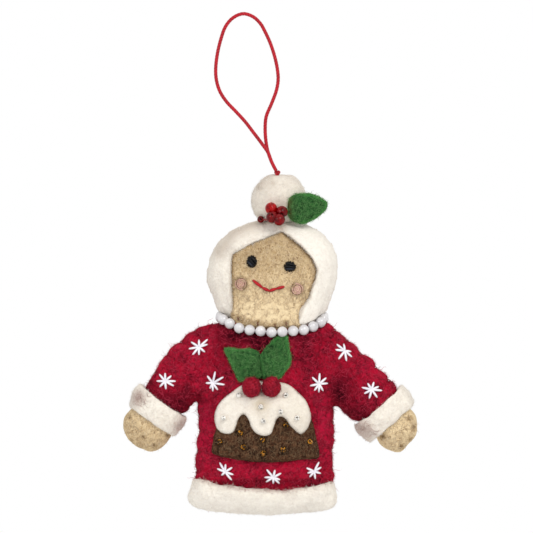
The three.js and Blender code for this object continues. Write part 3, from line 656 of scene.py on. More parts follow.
def relief(points):
    """The front of a form as a grid: each cell holds the foremost point's place along Y, and an empty
    cell takes the mean of its filled neighbours, step by step."""
    flat, cell, border, steps = points[:, [0, 2]], 0.6, 8, 14
    low = flat.min(0) - border * cell
    front = np.full(np.ceil((flat.max(0) - low) / cell).astype(int) + border, np.inf)
    np.minimum.at(front, tuple(np.floor((flat - low) / cell).astype(int).T), points[:, 1])
    for _ in range(steps):
        near = round_cells(front, constant_values=np.inf)
        known = np.isfinite(near)
        mean = np.where(known, near, 0).sum(0) / np.maximum(known.sum(0), 1)
        front = np.where(np.isfinite(front) | ~known.any(0), front, mean)
    return low, cell, np.where(np.isfinite(front), front, 0)


def height(ground, flat):
    """The relief's place along Y at places in X and Z, between the four cells round each."""
    low, cell, front = ground
    at = np.clip((flat - low) / cell - 0.5, 0, np.array(front.shape) - 1.001)
    whole = at.astype(int)
    x, z = (at - whole).T
    i, j = whole.T
    return ((1 - x) * (1 - z) * front[i, j] + x * (1 - z) * front[i + 1, j]
            + (1 - x) * z * front[i, j + 1] + x * z * front[i + 1, j + 1])


def curls(name, form, count, length, curl, seed, finish, keep=1.0, grain=None, back=False, width=0.13):
    """Long fibres felted flat into the front or the back. Each keeps turning from a heading, which is
    random or spreads round a grain, and its height is the relief's under each of its points."""
    chance, steps = np.random.default_rng(seed), 7
    points, faces = form
    away = np.array([1, -1, 1]) if back else np.ones(3)
    facing = ramp(-2 * (outward(points, faces) * away)[:, 1] - 0.6)
    root, _ = sown(points, faces, count, chance, facing * keep)
    heading = chance.uniform(0, 2 * np.pi, count) if grain is None else grain + 0.5 * chance.normal(size=count)
    step = np.linspace(0, 1, steps)
    turn = heading[:, None] + curl * chance.normal(size=(count, 1)) * step
    turn = turn + 0.6 * np.sin(2 * np.pi * (step + chance.random((count, 1))))
    reach = length * chance.uniform(0.4, 1.3, (count, 1)) / (steps - 1)
    flat = root[:, None, [0, 2]] + np.cumsum(reach[:, :, None] * headed(turn), 1)
    rise = height(relief(points * away), flat.reshape(-1, 2)).reshape(count, steps) - 0.3 * width
    spun(name, at_depth(flat, rise) * away, width, (0, 1, 0), chance, finish)


points, faces = stuffed(["head_front", "head_back", "head_wadding"], steps=24, depth=0.1, width=7, seed=21)
depth = from_line(points, opening)[0] * np.where(within(points, opening), 1, -1)
flush = beside(points, [[-4.2, -89.0], [13.0, -81.2]], 2.5)
plump = ramp(depth + 1.2 + 0.7 * flush, 1.5) ** 0.5 * (0.9 + 1.35 * flush)
points[:, 1] -= plump * (points[:, 1] < 0)
gathers = np.array([[-2.3, -112.4], [4.8, -114.2], [11.3, -114.9], [15.4, -114.2]])
points = drooped(points, -7.0, 24.0, 4.0, 2.6)
for gather_x, _ in gathers:
    valley = bell(points[:, 0] - gather_x, 0.9) * (1 - ramp(points[:, 2] + 116, 6))
    points[:, 1] += 0.5 * valley * (points[:, 1] < -3)
points = pressed(points)
head, face_side = (points, faces), points[:, 1] < 0
x, y, z = points.T
rim, way = from_line(points, opening)
# Painted shade along the hood's edge, except on its upper left, at and under the gathers of the chin, and on the brow;
# painted light on the chin.
tuck = bell(rim, 0.7) * np.interp(way, [0, 22, 27, 43, 46, 78], [0.5, 0.5, 0.0, 0.0, 0.6, 0.4])
tuck += 0.3 * beside(points, gathers - (0, 0.6), 0.9)
tuck += sum(0.75 * bell(np.hypot((x - at_x) * 0.8, z - at_z), 0.75) for at_x, at_z in gathers)
tuck *= face_side
chin, brow = ramp(-93 - z, 22), ramp(z + 102, 14)
put("face_felt", head, tan_felt, ["head_front", "head_back", "head_wadding"],
              stain=tuck + 0.28 * brow - 0.7 * chin * ramp(1 - tuck * 8))
fuzz("face_wisps", head, 2500, 0.7, 0.85, 22, tan_wisps, face_side)
curls("face_fibres", head, 1500, 1.6, 1.2, 23, tan_wisps, width=0.11)
curls("chin_fibres", head, 700, 3.0, 0.5, 24, tan_wisps, chin, grain=np.pi / 2, width=0.12)

# Eyes, cheeks and mouth, all stitched through the face. Each eye is a small mound of black strands laid
# side by side with three more across them, each cheek a flat spiral of pink thread half ringed in brown,
# and the mouth is a row of red back stitches. Four brown stitches gather the felt under the chin.
thread_sides = 8


def stitch(ground, start, end, radius, rise=0.9):
    """A straight stitch on a relief: a strand that comes out of one hole, arches by a share of its
    radius as half a sine wave does, is plumpest in its middle, and goes down into the other hole."""
    part = np.linspace(0, 1, 9)
    flat = np.asarray(start) * (1 - part[:, None]) + np.asarray(end) * part[:, None]
    arch = np.sin(np.pi * part) ** 0.6
    path = at_depth(flat, height(ground, flat) - radius * ((rise + 0.8) * arch - 0.8))
    way = unit(flat[-1] - flat[0])
    return tube(path, radius * (0.5 + 0.5 * arch), thread_sides, (-way[1], 0, way[0]))


def flanks(form):
    """A strand's painted shade: the square of the cosine of each point's angle round its sides, so that its
    flanks are painted dark."""
    return np.tile(np.cos(circle(thread_sides)) ** 2, len(form[0]) // thread_sides)


face = relief(head[0])
black_thread = thread("black_thread", "thread_black", (42, 46, 56), (1, 1, 2), roughness=0.35, sheen=0.0, gloss=0.2)
for side, middle, wide, tall, turn in (
        ("left", (2.7, -91.7), 1.7, 2.0, 1.25), ("right", (16.7, -93.5), 2.0, 1.7, 1.9)):
    centre = at_depth(np.array(middle), height(face, np.array([middle]))[0] + 0.2)
    strands, steps = [], 13
    under = [(offset, turn, 0.9) for offset in np.linspace(-0.8, 0.8, 5)]
    for offset, tilt, lift in under + [(-0.5, turn + 0.9, 1.3), (0.05, turn + 1.1, 1.6), (0.5, turn + 1.25, 1.4)]:
        angle = np.linspace(-np.pi / 2, np.pi / 2, steps)
        reach = (1 - offset ** 2) ** 0.5
        across = reach * np.sin(angle)
        flat_x = across * np.cos(tilt) - offset * np.sin(tilt)
        flat_z = across * np.sin(tilt) + offset * np.cos(tilt)
        path = centre + np.stack([wide * flat_x, -1.25 * lift * reach * np.cos(angle), tall * flat_z], 1)
        strands.append(tube(path, 0.42, thread_sides, (-np.sin(tilt), 0, np.cos(tilt))))
    eye = together(strands)
    # The eye's strands take the thread's deep black, with painted shade on their flanks; the middle of the last strand
    # across is painted lighter, a painted highlight.
    painted_glint = np.full(len(eye[0]), 1.6)
    painted_glint[-steps * thread_sides:] = 1 - 1.9 * bell(np.linspace(-3, 3, steps), 1.1).repeat(thread_sides)
    put(f"stitched_eye_{side}", eye, black_thread, [f"eye_{side}"], groove=0.6 * (flanks(eye) + painted_glint))

pink_thread = thread("pink_thread", "thread_pink", (236, 194, 182), (178, 130, 114), roughness=0.8)
brown_thread = thread("brown_thread", "thread_pink", (126, 86, 64), (76, 48, 34), roughness=0.7)
cheeks = ("left", (-1.3, -99.9), 5.0), ("right", (19.4, -101.9), 1.9)
for side, middle, first in cheeks:
    angle = np.linspace(0, 6 * np.pi, 140)
    reach = np.linspace(0.12, 2.15, 140) * (1 + 0.06 * np.sin(2.7 * angle))
    flat = middle + reach[:, None] * headed(angle + first)
    cheek = tube(at_depth(flat, height(face, flat) - 0.02), 0.25, thread_sides, (0, 1, 0))
    # Painted shade on the flanks of the spiral's thread.
    put(f"stitched_cheek_{side}", cheek, pink_thread, [f"cheek_{side}"], groove=1.2 - 1.2 * flanks(cheek))
    flat = middle + np.linspace(2.35, 1.3, 70)[:, None] * headed(np.linspace(first + 0.2, first + 8.0, 70))
    put(f"cheek_ring_{side}", tube(at_depth(flat, height(face, flat) - 0.16), 0.13, 6, (0, 1, 0)),
        brown_thread)
round_cheeks = np.min([np.linalg.norm(head[0][:, [0, 2]] - middle, axis=1) for _, middle, _ in cheeks], 0)
fuzz("cheek_wisps", head, 700, 1.7, 0.5, 25, tan_wisps, face_side * bell(round_cheeks - 2.3, 0.5))

red_thread = thread("red_thread", "thread_red", (188, 12, 26), (124, 2, 12), roughness=0.5)
smile = np.array([[3.1, -98.6], [6.7, -101.4], [9.1, -102.5], [11.7, -101.7], [14.7, -100.9]])
mouth = together([stitch(face, start * 1.04 - end * 0.04, end, 0.64) for start, end in zip(smile, smile[1:])])
# Painted shade on the flanks of the stitches.
put("stitched_mouth", mouth, red_thread, ["mouth_stitches"], groove=1.2 * flanks(mouth))
put("chin_stitches", together([stitch(face, (x - 0.2, z + 0.2), (x + 0.2, z - 1.2), 0.24) for x, z in gathers]),
    (brown_thread[0], "felt_tan"))

# The bobble. A ball of cream wool, felted hard and sewn on top of the hood, carries a leaf of green
# felt at its right and a cluster of red glass beads, threaded on where leaf, ball and hood meet.
def round_spot(points, spot, width):
    """A bell curve round a spot in X and Z."""
    return bell(np.linalg.norm(points[:, [0, 2]] - spot, axis=1), width)


points, faces = stuffed(["bobble"], steps=16, depth=0.16, width=6, seed=31)
ways = outward(points, faces)
shoulder = bell(ways @ np.array([0.72, 0, 0.69]) - 1, 0.16)
crown = bell(ways[:, 0] - 0.05, 0.6) * ramp(ways[:, 2] * 2.5 - 1.5) * ramp(points[:, 1] - 0.6, 2)
near_knot = bell(np.linalg.norm(points - knot_place, axis=1), 3.4)
swell = (0.4 + 0.9 * shoulder) * (1 - near_knot) + 0.7 * crown * (1 - 0.6 * near_knot)
points = points + swell[:, None] * ways
bobble = points, faces
dark_spots = ((6.6, -61.0), 4.0, 0.3), ((5.2, -64.4), 1.0, 0.3), ((10.7, -62.8), 1.0, 0.22), ((15.5, -70.5), 3.0, 0.3)
stain = 0.14 + sum(deep * round_spot(points, spot, wide) for spot, wide, deep in dark_spots)
put("bobble_wool", bobble, cream_felt, ["bobble"], stain=stain)
fuzz("bobble_wisps", bobble, 4000, 1.3, 0.7, 32, cream_wisps, np.linalg.norm(points - knot_place, axis=1) > 5)


def patch(outline, back, thickness, edge, dents, cell=0.5):
    """A layer of felt cut to an outline. Even points in the outline are joined to those on it; the
    front rises from the back as a quarter circle over the edge's width and stays a thickness away.
    It gives the dented form and how far each of its points lies from the outline."""
    rim = drawn(outline, 12, closed=True)
    rim = np.vstack([rim, rim[:1]])
    rim = evenly(rim, int(along(rim)[-1] / cell))
    low, high = rim.min(0), rim.max(0)
    x, z = np.meshgrid(np.arange(low[0], high[0], cell), np.arange(low[1], high[1], cell * 0.87))
    x = x + cell / 2 * (np.arange(len(x)) % 2)[:, None]
    inside = np.stack([x.ravel(), z.ravel()], 1)
    inside = inside[from_line(inside, rim)[0] > 0.55 * cell]
    count = len(rim) - 1
    edges = [(i, (i + 1) % count) for i in range(count)]
    spots = [Vector(spot) for spot in (mm * np.vstack([rim[:-1], inside])).tolist()]
    flat, _, corners, *_ = delaunay_2d_cdt(spots, edges, [], 1, 1e-8)
    flat, corners = np.array(flat) / mm, np.array(corners)
    gap = from_line(flat, rim)[0]
    rise = np.sqrt(1 - (1 - ramp(gap, edge)) ** 2)
    sunk = at_depth(flat, back(flat))
    inner = gap > 1e-4
    twin = np.where(inner, len(flat) + np.cumsum(inner) - 1, np.arange(len(flat)))
    points = np.vstack([sunk - rise[:, None] * (0, thickness, 0), sunk[inner]])
    faces = [np.vstack([corners, twin[corners][:, ::-1]])]
    return (dented(points, faces, *dents), faces), np.concatenate([gap, gap[inner]])


green = (26, 80, 36), (80, 134, 70), (2, 30, 12)
# Its light green marked colour is painted light along leaf rims; its brown one marks the bobble leaf's left end.
green_felt = felt("green_felt", "felt_green", green, (78, 156, 74), (84, 62, 34), curl=1.5, contrast=0.6, mottle=2.2,
                  scale=0.8)
green_wisps = wisps("green_wisps", "felt_green", (2, 44, 16), (116, 170, 102))
# Paler green fibres for the rims, where the felt has painted light.
rim_wisps = wisps("rim_wisps", "felt_green", (60, 132, 60), (150, 200, 130))
bobble_leaf = np.array([
    [16.2, -68.7], [18.5, -66.9], [22.1, -66.5], [25.2, -66.8], [28.8, -68.4], [30.5, -69.9], [30.5, -71.7],
    [29, -73.7], [25.2, -76.4], [22.3, -77.7], [19.6, -77.4], [16.9, -76.1], [15.9, -72.8]])
leaf, gap = patch(bobble_leaf, lambda flat: -8.7 + 0.14 * (flat[:, 0] - 16) + 0.012 * (flat[:, 1] + 72) ** 2,
                  thickness=1.6, edge=0.8, dents=(0.1, 4, 33))
x = leaf[0][:, 0]
# Painted light along the rim, except at the left end, which is browner.
put("bobble_leaf_felt", leaf, green_felt, ["bobble_leaf"],
    stain=0.7 * bell(gap, 0.9) * ramp(x - 18, 6) - 0.9 * bell(x - 16, 1.6))
fuzz("bobble_leaf_wisps", leaf, 2400, 0.9, 0.7, 34, green_wisps)
fuzz("bobble_leaf_rim", leaf, 1100, 1.4, 0.6, 36, rim_wisps, gap < 0.7)
curls("bobble_leaf_fibres", leaf, 600, 1.8, 1.2, 35, green_wisps, gap > 0.6, width=0.09)


def cad_ends(name):
    """The lowest and the highest corner of a CAD node's box, in millimetres."""
    return np.array(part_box(name)) / mm


def bead(middle, radius, bore, turn, sides=20, rows=16):
    """A bored bead: a ring of sections, each a half circle cut off where the bore leaves it and closed
    along the bore, turned as the CAD bead is sewn."""
    first = math.asin(bore / radius)
    arc = np.linspace(first, math.pi - first, rows)
    reach = np.concatenate([radius * np.sin(arc), [bore, bore]])
    rise = radius * np.concatenate([np.cos(arc), math.cos(first) * np.array([-0.5, 0.5])])
    angle = circle(sides)[:, None]
    x, y, z = np.cos(angle) * reach, np.sin(angle) * reach, rise + 0 * angle
    points = np.stack([x, y * math.cos(turn) - z * math.sin(turn), y * math.sin(turn) + z * math.cos(turn)], -1)
    return points.reshape(-1, 3) + middle, [lattice(sides, rows + 2, True, True)]


def glass(name, slot, colour, clear, dark, grain=500, steep=3, start_at=0.33):
    """Bead glass: clear, coloured right through, with patches that pass from dark to the colour where a
    noise passes a value, the more sharply the steeper. The amber beads' bright patches are painted glints."""
    colour = dye(colour)
    deep = (*(dark * part for part in colour[:3]), 1)
    return surface(name, slot, lambda place: {
        "Base Color": ((place.noise(grain) - start_at) * steep).held().between(deep, colour),
        "Transmission Weight": clear, "Roughness": 0.04, "IOR": 1.28, "Specular IOR Level": 0.5})


red_glass = glass("red_glass", "glass_red", (232, 6, 14), clear=0.4, dark=0.35)
dark_red_glass = glass("dark_red_glass", "glass_red", (152, 0, 10), clear=0.3, dark=0.2)
nudges = {2: (-0.3, 0, 0.1), 3: (0.5, 0, 0.4), 4: (-0.7, 0, 1.0)}
for i, turn in enumerate((0.5, 1.9, 1.1, 0.2, 1.5), 1):
    ends = cad_ends(f"glass_bead_{i}")
    radius = np.ptp(ends, 0).max() / 2 * (1.12 if i < 5 else 1)
    put(f"red_bead_{i}", bead(ends.mean(0) + nudges.get(i, (0, 0, 0)), radius, 0.4, turn),
        red_glass if i == 1 else dark_red_glass, [f"glass_bead_{i}"])
bead_middles = np.array([cad_ends(f"glass_bead_{i}").mean(0) for i in (5, 3, 1, 2, 4, 3, 2)])
loops = tube(drawn(bead_middles + (0, 1.2, 0), 8), 0.4, thread_sides, (0.1, 1, 0.2))
put("bead_sewing_thread", loops, red_thread, groove=np.full(len(loops[0]), 1.5))

# The jumper. Two crimson felt panels, cut as body and sleeves in one, are overcast together along both
# sides, so the seam is a row of small scallops with puckers running in from its stitches. Wadding
# fills the body and the sleeves. Each side seam has its line, and its stitches' places and scallops.
crimson = (158, 5, 36), (200, 40, 70), (66, 0, 12)
# Its darker marked colour is painted shade and its lighter one painted light.
crimson_felt = felt("crimson_felt", "felt_crimson", crimson, (58, 0, 12), (190, 24, 62), curl=1.6, contrast=0.45,
                    mottle=1.6, scale=0.8)
crimson_wisps = wisps("crimson_wisps", "felt_crimson", (112, 0, 24), (204, 60, 86))
pink_wisps = wisps("pink_wisps", "felt_crimson", (176, 40, 70), (240, 176, 188))
side_seams = [
    ([[-10.3, -113.1], [-16.1, -115.8], [-22.3, -119.8], [-27.8, -124.8], [-32.5, -130.6], [-36.8, -137.7]],
     [[2.6, 0.5], [9.1, 0.7], [15.8, 0.8], [22.4, 0.8], [30.6, 0.5], [34.9, 0.4], [39, 0.4]]),
    ([[-21.4, -148], [-18.5, -142.7], [-16.9, -143.1], [-17.3, -153.3], [-17.7, -161], [-18.2, -166.5],
      [-17.7, -171.2]],
     [[-1, 0.5], [2.6, 0.5], [8, 0.4], [13.4, 0.5], [19.1, 0.6], [26.1, 1], [34.2, 1], [40, 0.6]]),
    ([[31, -113.9], [34.5, -118.2], [41.5, -123.7], [47.7, -129.1], [52.4, -134.5], [56.7, -138.5]],
     [[-2.4, 0.5], [4, 0.6], [9.9, 0.7], [16.9, 1.4], [24.6, 1.5], [31.4, 1.5], [36.4, 1], [42, 0.6]]),
    ([[40.6, -151.3], [33.3, -144.7], [32.9, -153.3], [32.6, -164.1], [32.9, -171.9]],
     [[-0.4, 0.6], [3.7, 0.6], [11, 0.6], [16.2, 0.6], [21.5, 0.6], [25.8, 0.6], [33.7, 0.7], [37.8, 0.6]]),
]
points, faces = stuffed(["jumper_front", "jumper_back", "body_wadding"], steps=26, depth=0.26, width=8, seed=41)
normals = outward(points, faces)
seam_gap, beat, scallop = np.full(len(points), np.inf), np.zeros(len(points)), np.zeros(len(points))
for seam, stitches in side_seams:
    gap, way = from_line(points, seam)
    closer = gap < seam_gap
    places, depths = np.array(stitches).T
    between = np.interp(way, places, np.arange(len(places)))
    seam_gap = np.where(closer, gap, seam_gap)
    beat = np.where(closer, np.abs(between % 1 * 2 - 1), beat)
    scallop = np.where(closer, np.interp(way, places, depths), scallop)
lobe = np.sqrt(1 - ramp(beat) ** 2)
ridge = bell(points[:, 1], 1.8) * np.exp(-(seam_gap / 2.5) ** 4)
pucker = bell(1 - beat, 0.28) * np.exp(-seam_gap / 3.5)
push = ridge * scallop * (1.25 * lobe - 0.85) - (1 - ridge) * 0.55 * pucker
points = pressed(dented(points + push[:, None] * normals, faces, 0.09, 2.6, 43))
# Each spot of painted shade or painted light has its place in X and Z, its half widths and its strength, which is below
# 0 for light.
painted_light_spots = np.array([
    [6, -119, 16, 2.6, 0.55], [6.4, -121.5, 4, 4, 1.45], [-4, -119, 6, 4, 0.6], [20, -121, 7, 4, 0.4],
    [-29, -142.5, 8, 4, 0.6], [-21, -141.5, 4, 4, 0.45], [34, -139, 4, 6, 0.7], [41, -147, 5, 4, 0.55],
    [38, -134, 5, 6, 0.35], [24, -129, 6, 8, 0.25], [-9, -128, 7, 8, 0.25], [-16, -152, 3.5, 13, -0.75],
    [30, -151, 3.5, 13, -0.75], [6, -168.5, 22, 3, -0.2], [-22, -124, 8, 4, -0.2], [45, -131, 8, 4, -0.3],
    [8, -173, 26, 1.2, 0.5], [-21.3, -138, 1.8, 1.8, 0.6], [-35.5, -137.5, 2.5, 3, 0.6], [36, -142, 3, 3, 0.5],
    [-27, -147, 7, 2.5, 0.5]])
away = (points[:, None, [0, 2]] - painted_light_spots[:, :2]) / painted_light_spots[:, 2:4]
# Painted shade in the puckers as well; on the back all the painted shade and light is weaker.
jumper_painted_light = (np.exp(-(away ** 2).sum(2)) * painted_light_spots[:, 4]).sum(1) + 0.35 * pucker
jumper = points, faces
put("jumper_felt", jumper, crimson_felt, ["jumper_front", "jumper_back", "body_wadding"],
              stain=jumper_painted_light * np.where(points[:, 1] < 0, 1, 0.4))
fuzz("jumper_wisps", jumper, 11000, 1.2, 0.8, 42, crimson_wisps)
fuzz("seam_wisps", jumper, 2200, 1.3, 0.45, 44, pink_wisps, ridge ** 4 * (0.3 + (seam_gap < 3)), 0.06)
seam_forms = []
for seam, stitches in side_seams:
    seam, places = np.array(seam), np.array(stitches)[:, 0]
    seam_forms += overcast(points, seam, places[(places > 1) & (places < along(seam)[-1] - 1)], 0.22)
put("jumper_seam_stitches", together(seam_forms), thread("crimson_thread", "felt_crimson", (150, 10, 40), (84, 0, 18)))
for side, count, seed in (("front", 4400, 45), ("back", 2600, 46)):
    curls(f"jumper_fibres_{side}", jumper, count, 3.2, 2.2, seed, crimson_wisps, back=side == "back")

# Cuffs and hem. Each is a band of the hood's cream felt, folded over the end of a sleeve or the foot of
# the jumper and sewn down with hidden stitches, so its edges are soft. The cuffs' felt is darker near
# their ends.
# Its darker marked colour is painted shade on the hem and darkens the cuffs near their ends; its lighter one is painted
# light on the hem.
trim_felt = felt("trim_felt", "felt_cream", cream, (146, 108, 98), (252, 247, 238), curl=0.8, mottle=0.8)
darker_trim_wisps = wisps("darker_trim_wisps", "felt_cream", (150, 116, 104), (226, 204, 196))


def drawn_back(points, way, near, far):
    """A band moved along a way: its near edge by one length and its far edge by another, and less at
    its two ends, by 1 - 0.7 v⁴ for v from -1 to 1 along it."""
    flat = points[:, [0, 2]]
    across, along_it = flat @ way, flat @ (-way[1], way[0])
    part = (across - across.min()) / np.ptp(across)
    v = 2 * (along_it - along_it.min()) / np.ptp(along_it) - 1
    reach = (near * (1 - part) + far * part) * (1 - 0.7 * v ** 4)
    return points + reach[:, None] * (way[0], 0, way[1])


for side, way, near, far, ends, seed in (
        ("left", (-0.563, -0.826), 1.3, 0.8, [[-40.2, -142.8], [-38.6, -141.0], [-23.8, -152.0]], 51),
        ("right", (0.612, -0.79), 1.7, 1.1, [[42.6, -152.6], [45.0, -155.0]], 52)):
    points, faces = stuffed([f"cuff_{side}"], steps=30, depth=0.16, width=6, seed=seed)
    cuff = drawn_back(points, way, near, far), faces
    # The felt is darker at spots near the cuff's ends, with a few darker fibres there.
    darker_ends = sum(round_spot(cuff[0], end, 2.6) for end in ends)
    put(f"cuff_felt_{side}", cuff, trim_felt, [f"cuff_{side}"], stain=darker_ends * 0.45)
    curls(f"cuff_threads_{side}", cuff, 36, 2.6, 0.4, seed + 6, darker_trim_wisps, darker_ends > 0.45,
          grain=math.atan2(way[1], way[0]) + 1.3, width=0.1)
    fuzz(f"cuff_wisps_{side}", cuff, 2600, 1.3, 0.6, seed + 2, cream_wisps)

points, faces = stuffed(["hem_trim"], steps=24, depth=0.3, width=9, seed=55)
x, y, z = points.T.copy()
part = ramp(z + 186, 13)
sag = np.interp(x, [-17.6, -5.2, 3.4, 15, 24.8, 32.6], [0.75, -0.6, -1.15, -2.1, -0.8, -0.6])
points[:, 2] += part * sag + (1 - part) * 1.2
points[:, 0] -= 0.9 * ramp(x - 22, 12) ** 2
hem, (gap, _) = (points, faces), from_line(points, [
    [-17.9, -171.9], [-12, -173.4], [-5.2, -175], [3.4, -176], [15, -176.6], [24.8, -174.6], [33, -172.8]])
# Painted shade along the hem's upper edge, where it lies on the jumper, and painted light away from it; a few darker
# fibres run along that edge.
put("hem_felt", hem, trim_felt, ["hem_trim"], stain=0.3 * bell(gap, 0.8) - 0.4 * ramp(gap - 1.2, 3))
curls("hem_threads", hem, 150, 1.6, 0.6, 57, darker_trim_wisps, gap < 1.2, grain=1.4, width=0.1)
fuzz("hem_wisps", hem, 6500, 1.3, 0.6, 56, cream_wisps)

# Hands. Two mitts of the face's tan felt, stuffed and sewn shut, stick out of the cuffs. A few small
# tucks, where their edges are closed, are dented and painted dark: painted shade in the folds.
for side, lit, tucks, seed in (
        ("left", 0.12, [[-42.4, -149.2], [-41.8, -158.1], [-38.5, -160.5], [-33.5, -159.5], [-28.6, -155.7],
                        [-37.4, -156.3]], 61),
        ("right", 0.45, [[60.7, -149.8], [61.3, -157.4], [57.8, -159.8], [51.2, -156.2], [62.3, -152.9]], 62)):
    points, faces = stuffed([f"hand_{side}"], steps=70, depth=0.25, width=7, seed=seed, cell=0.45)
    out = outward(points, faces)
    tucked = sum(round_spot(points, tuck, 0.7) for tuck in tucks) * ramp(-2.5 * out[:, 1])
    hand = points + (0.45 - 0.5 * tucked[:, None]) * out, faces
    # Painted shade in the tucks; elsewhere painted light, as much as lit says, more on the right hand.
    put(f"hand_felt_{side}", hand, tan_felt, [f"hand_{side}"],
                  stain=0.8 * tucked - lit * (tucked < 0.02))
    fuzz(f"hand_wisps_{side}", hand, 1500, 0.8, 0.8, seed + 2, tan_wisps)
    curls(f"hand_fibres_{side}", hand, 420, 1.8, 1.5, seed + 4, tan_wisps)

# The Christmas pudding on the chest. Brown felt is cut as the pudding and sewn down flat; thick cream
# felt with three drips lies over it as icing, plump at its edge, and two green leaves stand over that.
front = relief(jumper[0])


def covered(ground, points):
    """The relief with another layer on it: where the layer's points lie further forward, they count."""
    low, cell, grid = ground
    grid = grid.copy()
    np.minimum.at(grid, tuple(np.floor((points[:, [0, 2]] - low) / cell).astype(int).T), points[:, 1])
    return low, cell, grid


def eased(ground, passes):
    """The relief as cloth would bridge it: each cell takes the mean of the nine round it, so many times."""
    low, cell, grid = ground
    for _ in range(passes):
        grid = round_cells(grid, mode="edge").mean(0)
    return low, cell, grid


brown, brown_stain = ((63, 34, 21), (140, 104, 76), (22, 12, 7)), (26, 14, 8)
brown_felt = felt("brown_felt", "felt_brown", brown, brown_stain, brown_stain, curl=1.5, mottle=1.5, scale=0.8)
brown_wisps = wisps("brown_wisps", "felt_brown", (40, 24, 14), (178, 148, 114))
pudding_base = np.array([
    [-8.4, -147.5], [-10.4, -153.3], [-12.2, -161], [-11.9, -162.5], [-4.2, -164.5], [5, -165.6], [14.2, -165.6],
    [21.8, -164.7], [27.2, -164.1], [27.6, -162.5], [26.5, -156.4], [24.6, -149.5], [20, -142.5], [13, -140.5],
    [5, -140], [-3, -142]])
chest_front = eased(front, 3)
pudding, _ = patch(pudding_base, lambda flat: height(chest_front, flat) - 0.1,
                   thickness=1.9, edge=1.2, dents=(0.1, 5, 71), cell=0.55)
seeds = np.array([cad_ends(f"amber_bead_{i}").mean(0) for i in range(1, 9)])
round_seeds = np.linalg.norm(pudding[0][:, None, [0, 2]] - seeds[:, [0, 2]], axis=2).min(1)
# Painted shade round each amber bead.
put("pudding_felt", pudding, brown_felt, ["pudding_base"], stain=0.8 * np.exp(-(round_seeds / 1.5) ** 4))
fuzz("pudding_wisps", pudding, 2600, 1.2, 0.8, 72, brown_wisps)
curls("pudding_fibres", pudding, 1900, 2.0, 0.9, 75, brown_wisps, grain=1.5, width=0.06)

icing_outline = np.array([
    [-0.6, -137], [-4.2, -139.2], [-7.9, -142.3], [-10.4, -145.3], [-11.1, -150], [-10.1, -153.3], [-7.9, -155],
    [-4.6, -154.7], [-3, -152.4], [-1.8, -149.2], [-0.3, -148], [1.3, -149.8], [2.5, -152.7], [4.4, -155.2],
    [7.1, -156], [9.6, -155.2], [10.8, -152.7], [12, -150.2], [13.2, -149], [14.8, -149.6], [16.7, -152.1],
    [18.8, -154.3], [20.9, -155.2], [23.1, -153.6], [24.5, -150.3], [24.3, -146.9], [22.5, -143.2], [19.4, -139.5],
    [16, -137], [13.6, -136.2], [6.5, -135.6]])
icing_stain = (206, 190, 160)
icing_felt = felt("icing_felt", "felt_cream", cream, icing_stain, icing_stain, curl=0.6, mottle=0.6)
icing_bed = eased(covered(front, pudding[0]), 2)
icing, _ = patch(icing_outline, lambda flat: height(icing_bed, flat) + 0.2,
                 thickness=1.9, edge=1.7, dents=(0.12, 6, 73))
# Painted shade below the berries, and the icing darker towards the right.
put("icing_felt_layer", icing, icing_felt, ["pudding_icing"],
    stain=0.6 * round_spot(icing[0], (6, -144), 3.2) + 0.16 * ramp(icing[0][:, 0], 20))
fuzz("icing_wisps", icing, 1800, 0.7, 0.85, 74, cream_wisps)
icing_top = relief(icing[0])

holly = {
    "left": [[-7.5, -124.0], [-6.9, -123.6], [-2.1, -123.9], [3.1, -123.7], [5.6, -125.0], [6.2, -128.1], [6.6, -134.3],
             [2, -135.3], [0.3, -135.9], [-2.3, -135.5], [-4.1, -131.5], [-6.1, -127.6]],
    "right": [[12.5, -119.2], [15.5, -119.0], [16.3, -122.1], [17.1, -127.1], [16.7, -130.1], [14.8, -132.6],
              [12.9, -134.8], [9.4, -134.8], [6.5, -134.7], [6.1, -130.4], [5.3, -126.7], [6.3, -125.1], [9.1, -121.8]],
}
for side, over, seed in (("left", 0.1, 81), ("right", 1.3, 83)):
    leaf, gap = patch(holly[side], lambda flat: height(chest_front, flat) - 0.1 - over * bell(flat[:, 0] - 5, 4),
                      thickness=1.5, edge=0.8, dents=(0.15, 5, seed))
    outer = ramp(abs(leaf[0][:, 0] - 5.5) - 1, 5)
    # Painted light along the rim, except where the two leaves meet in the middle.
    put(f"holly_felt_{side}", leaf, green_felt, [f"pudding_leaf_{side}"], stain=0.6 * bell(gap, 0.8) * outer)
    fuzz(f"holly_rim_{side}", leaf, 900, 1.3, 0.65, seed + 6, rim_wisps, (gap < 0.6) * outer)
    fuzz(f"holly_wisps_{side}", leaf, 2200, 0.8, 0.7, seed + 1, green_wisps)
    curls(f"holly_fibres_{side}", leaf, 600, 1.8, 1.2, seed + 4, green_wisps, gap > 0.6, width=0.09)

# The berries are two balls of crimson wool, rolled and felted hard, whose fibres lie round them in
# bands. Both are sewn where leaves and icing meet.
def ball(sides, rings):
    """The unit directions of a ball's points, ring by ring and then its two poles, and its faces."""
    turn, rise = np.meshgrid(circle(sides), np.linspace(0, np.pi, rings + 2)[1:-1])
    ways = np.stack([np.sin(rise) * np.cos(turn), np.sin(rise) * np.sin(turn), np.cos(rise)], -1).reshape(-1, 3)
    top, ahead, foot = np.arange(sides), np.roll(np.arange(sides), -1), (rings - 1) * sides
    caps = [np.stack([np.full(sides, len(ways)), ahead, top], 1),
            np.stack([np.full(sides, len(ways) + 1), foot + top, foot + ahead], 1)]
    return np.vstack([ways, [[0, 0, 1], [0, 0, -1]]]), [lattice(rings, sides, False, True), np.vstack(caps)]


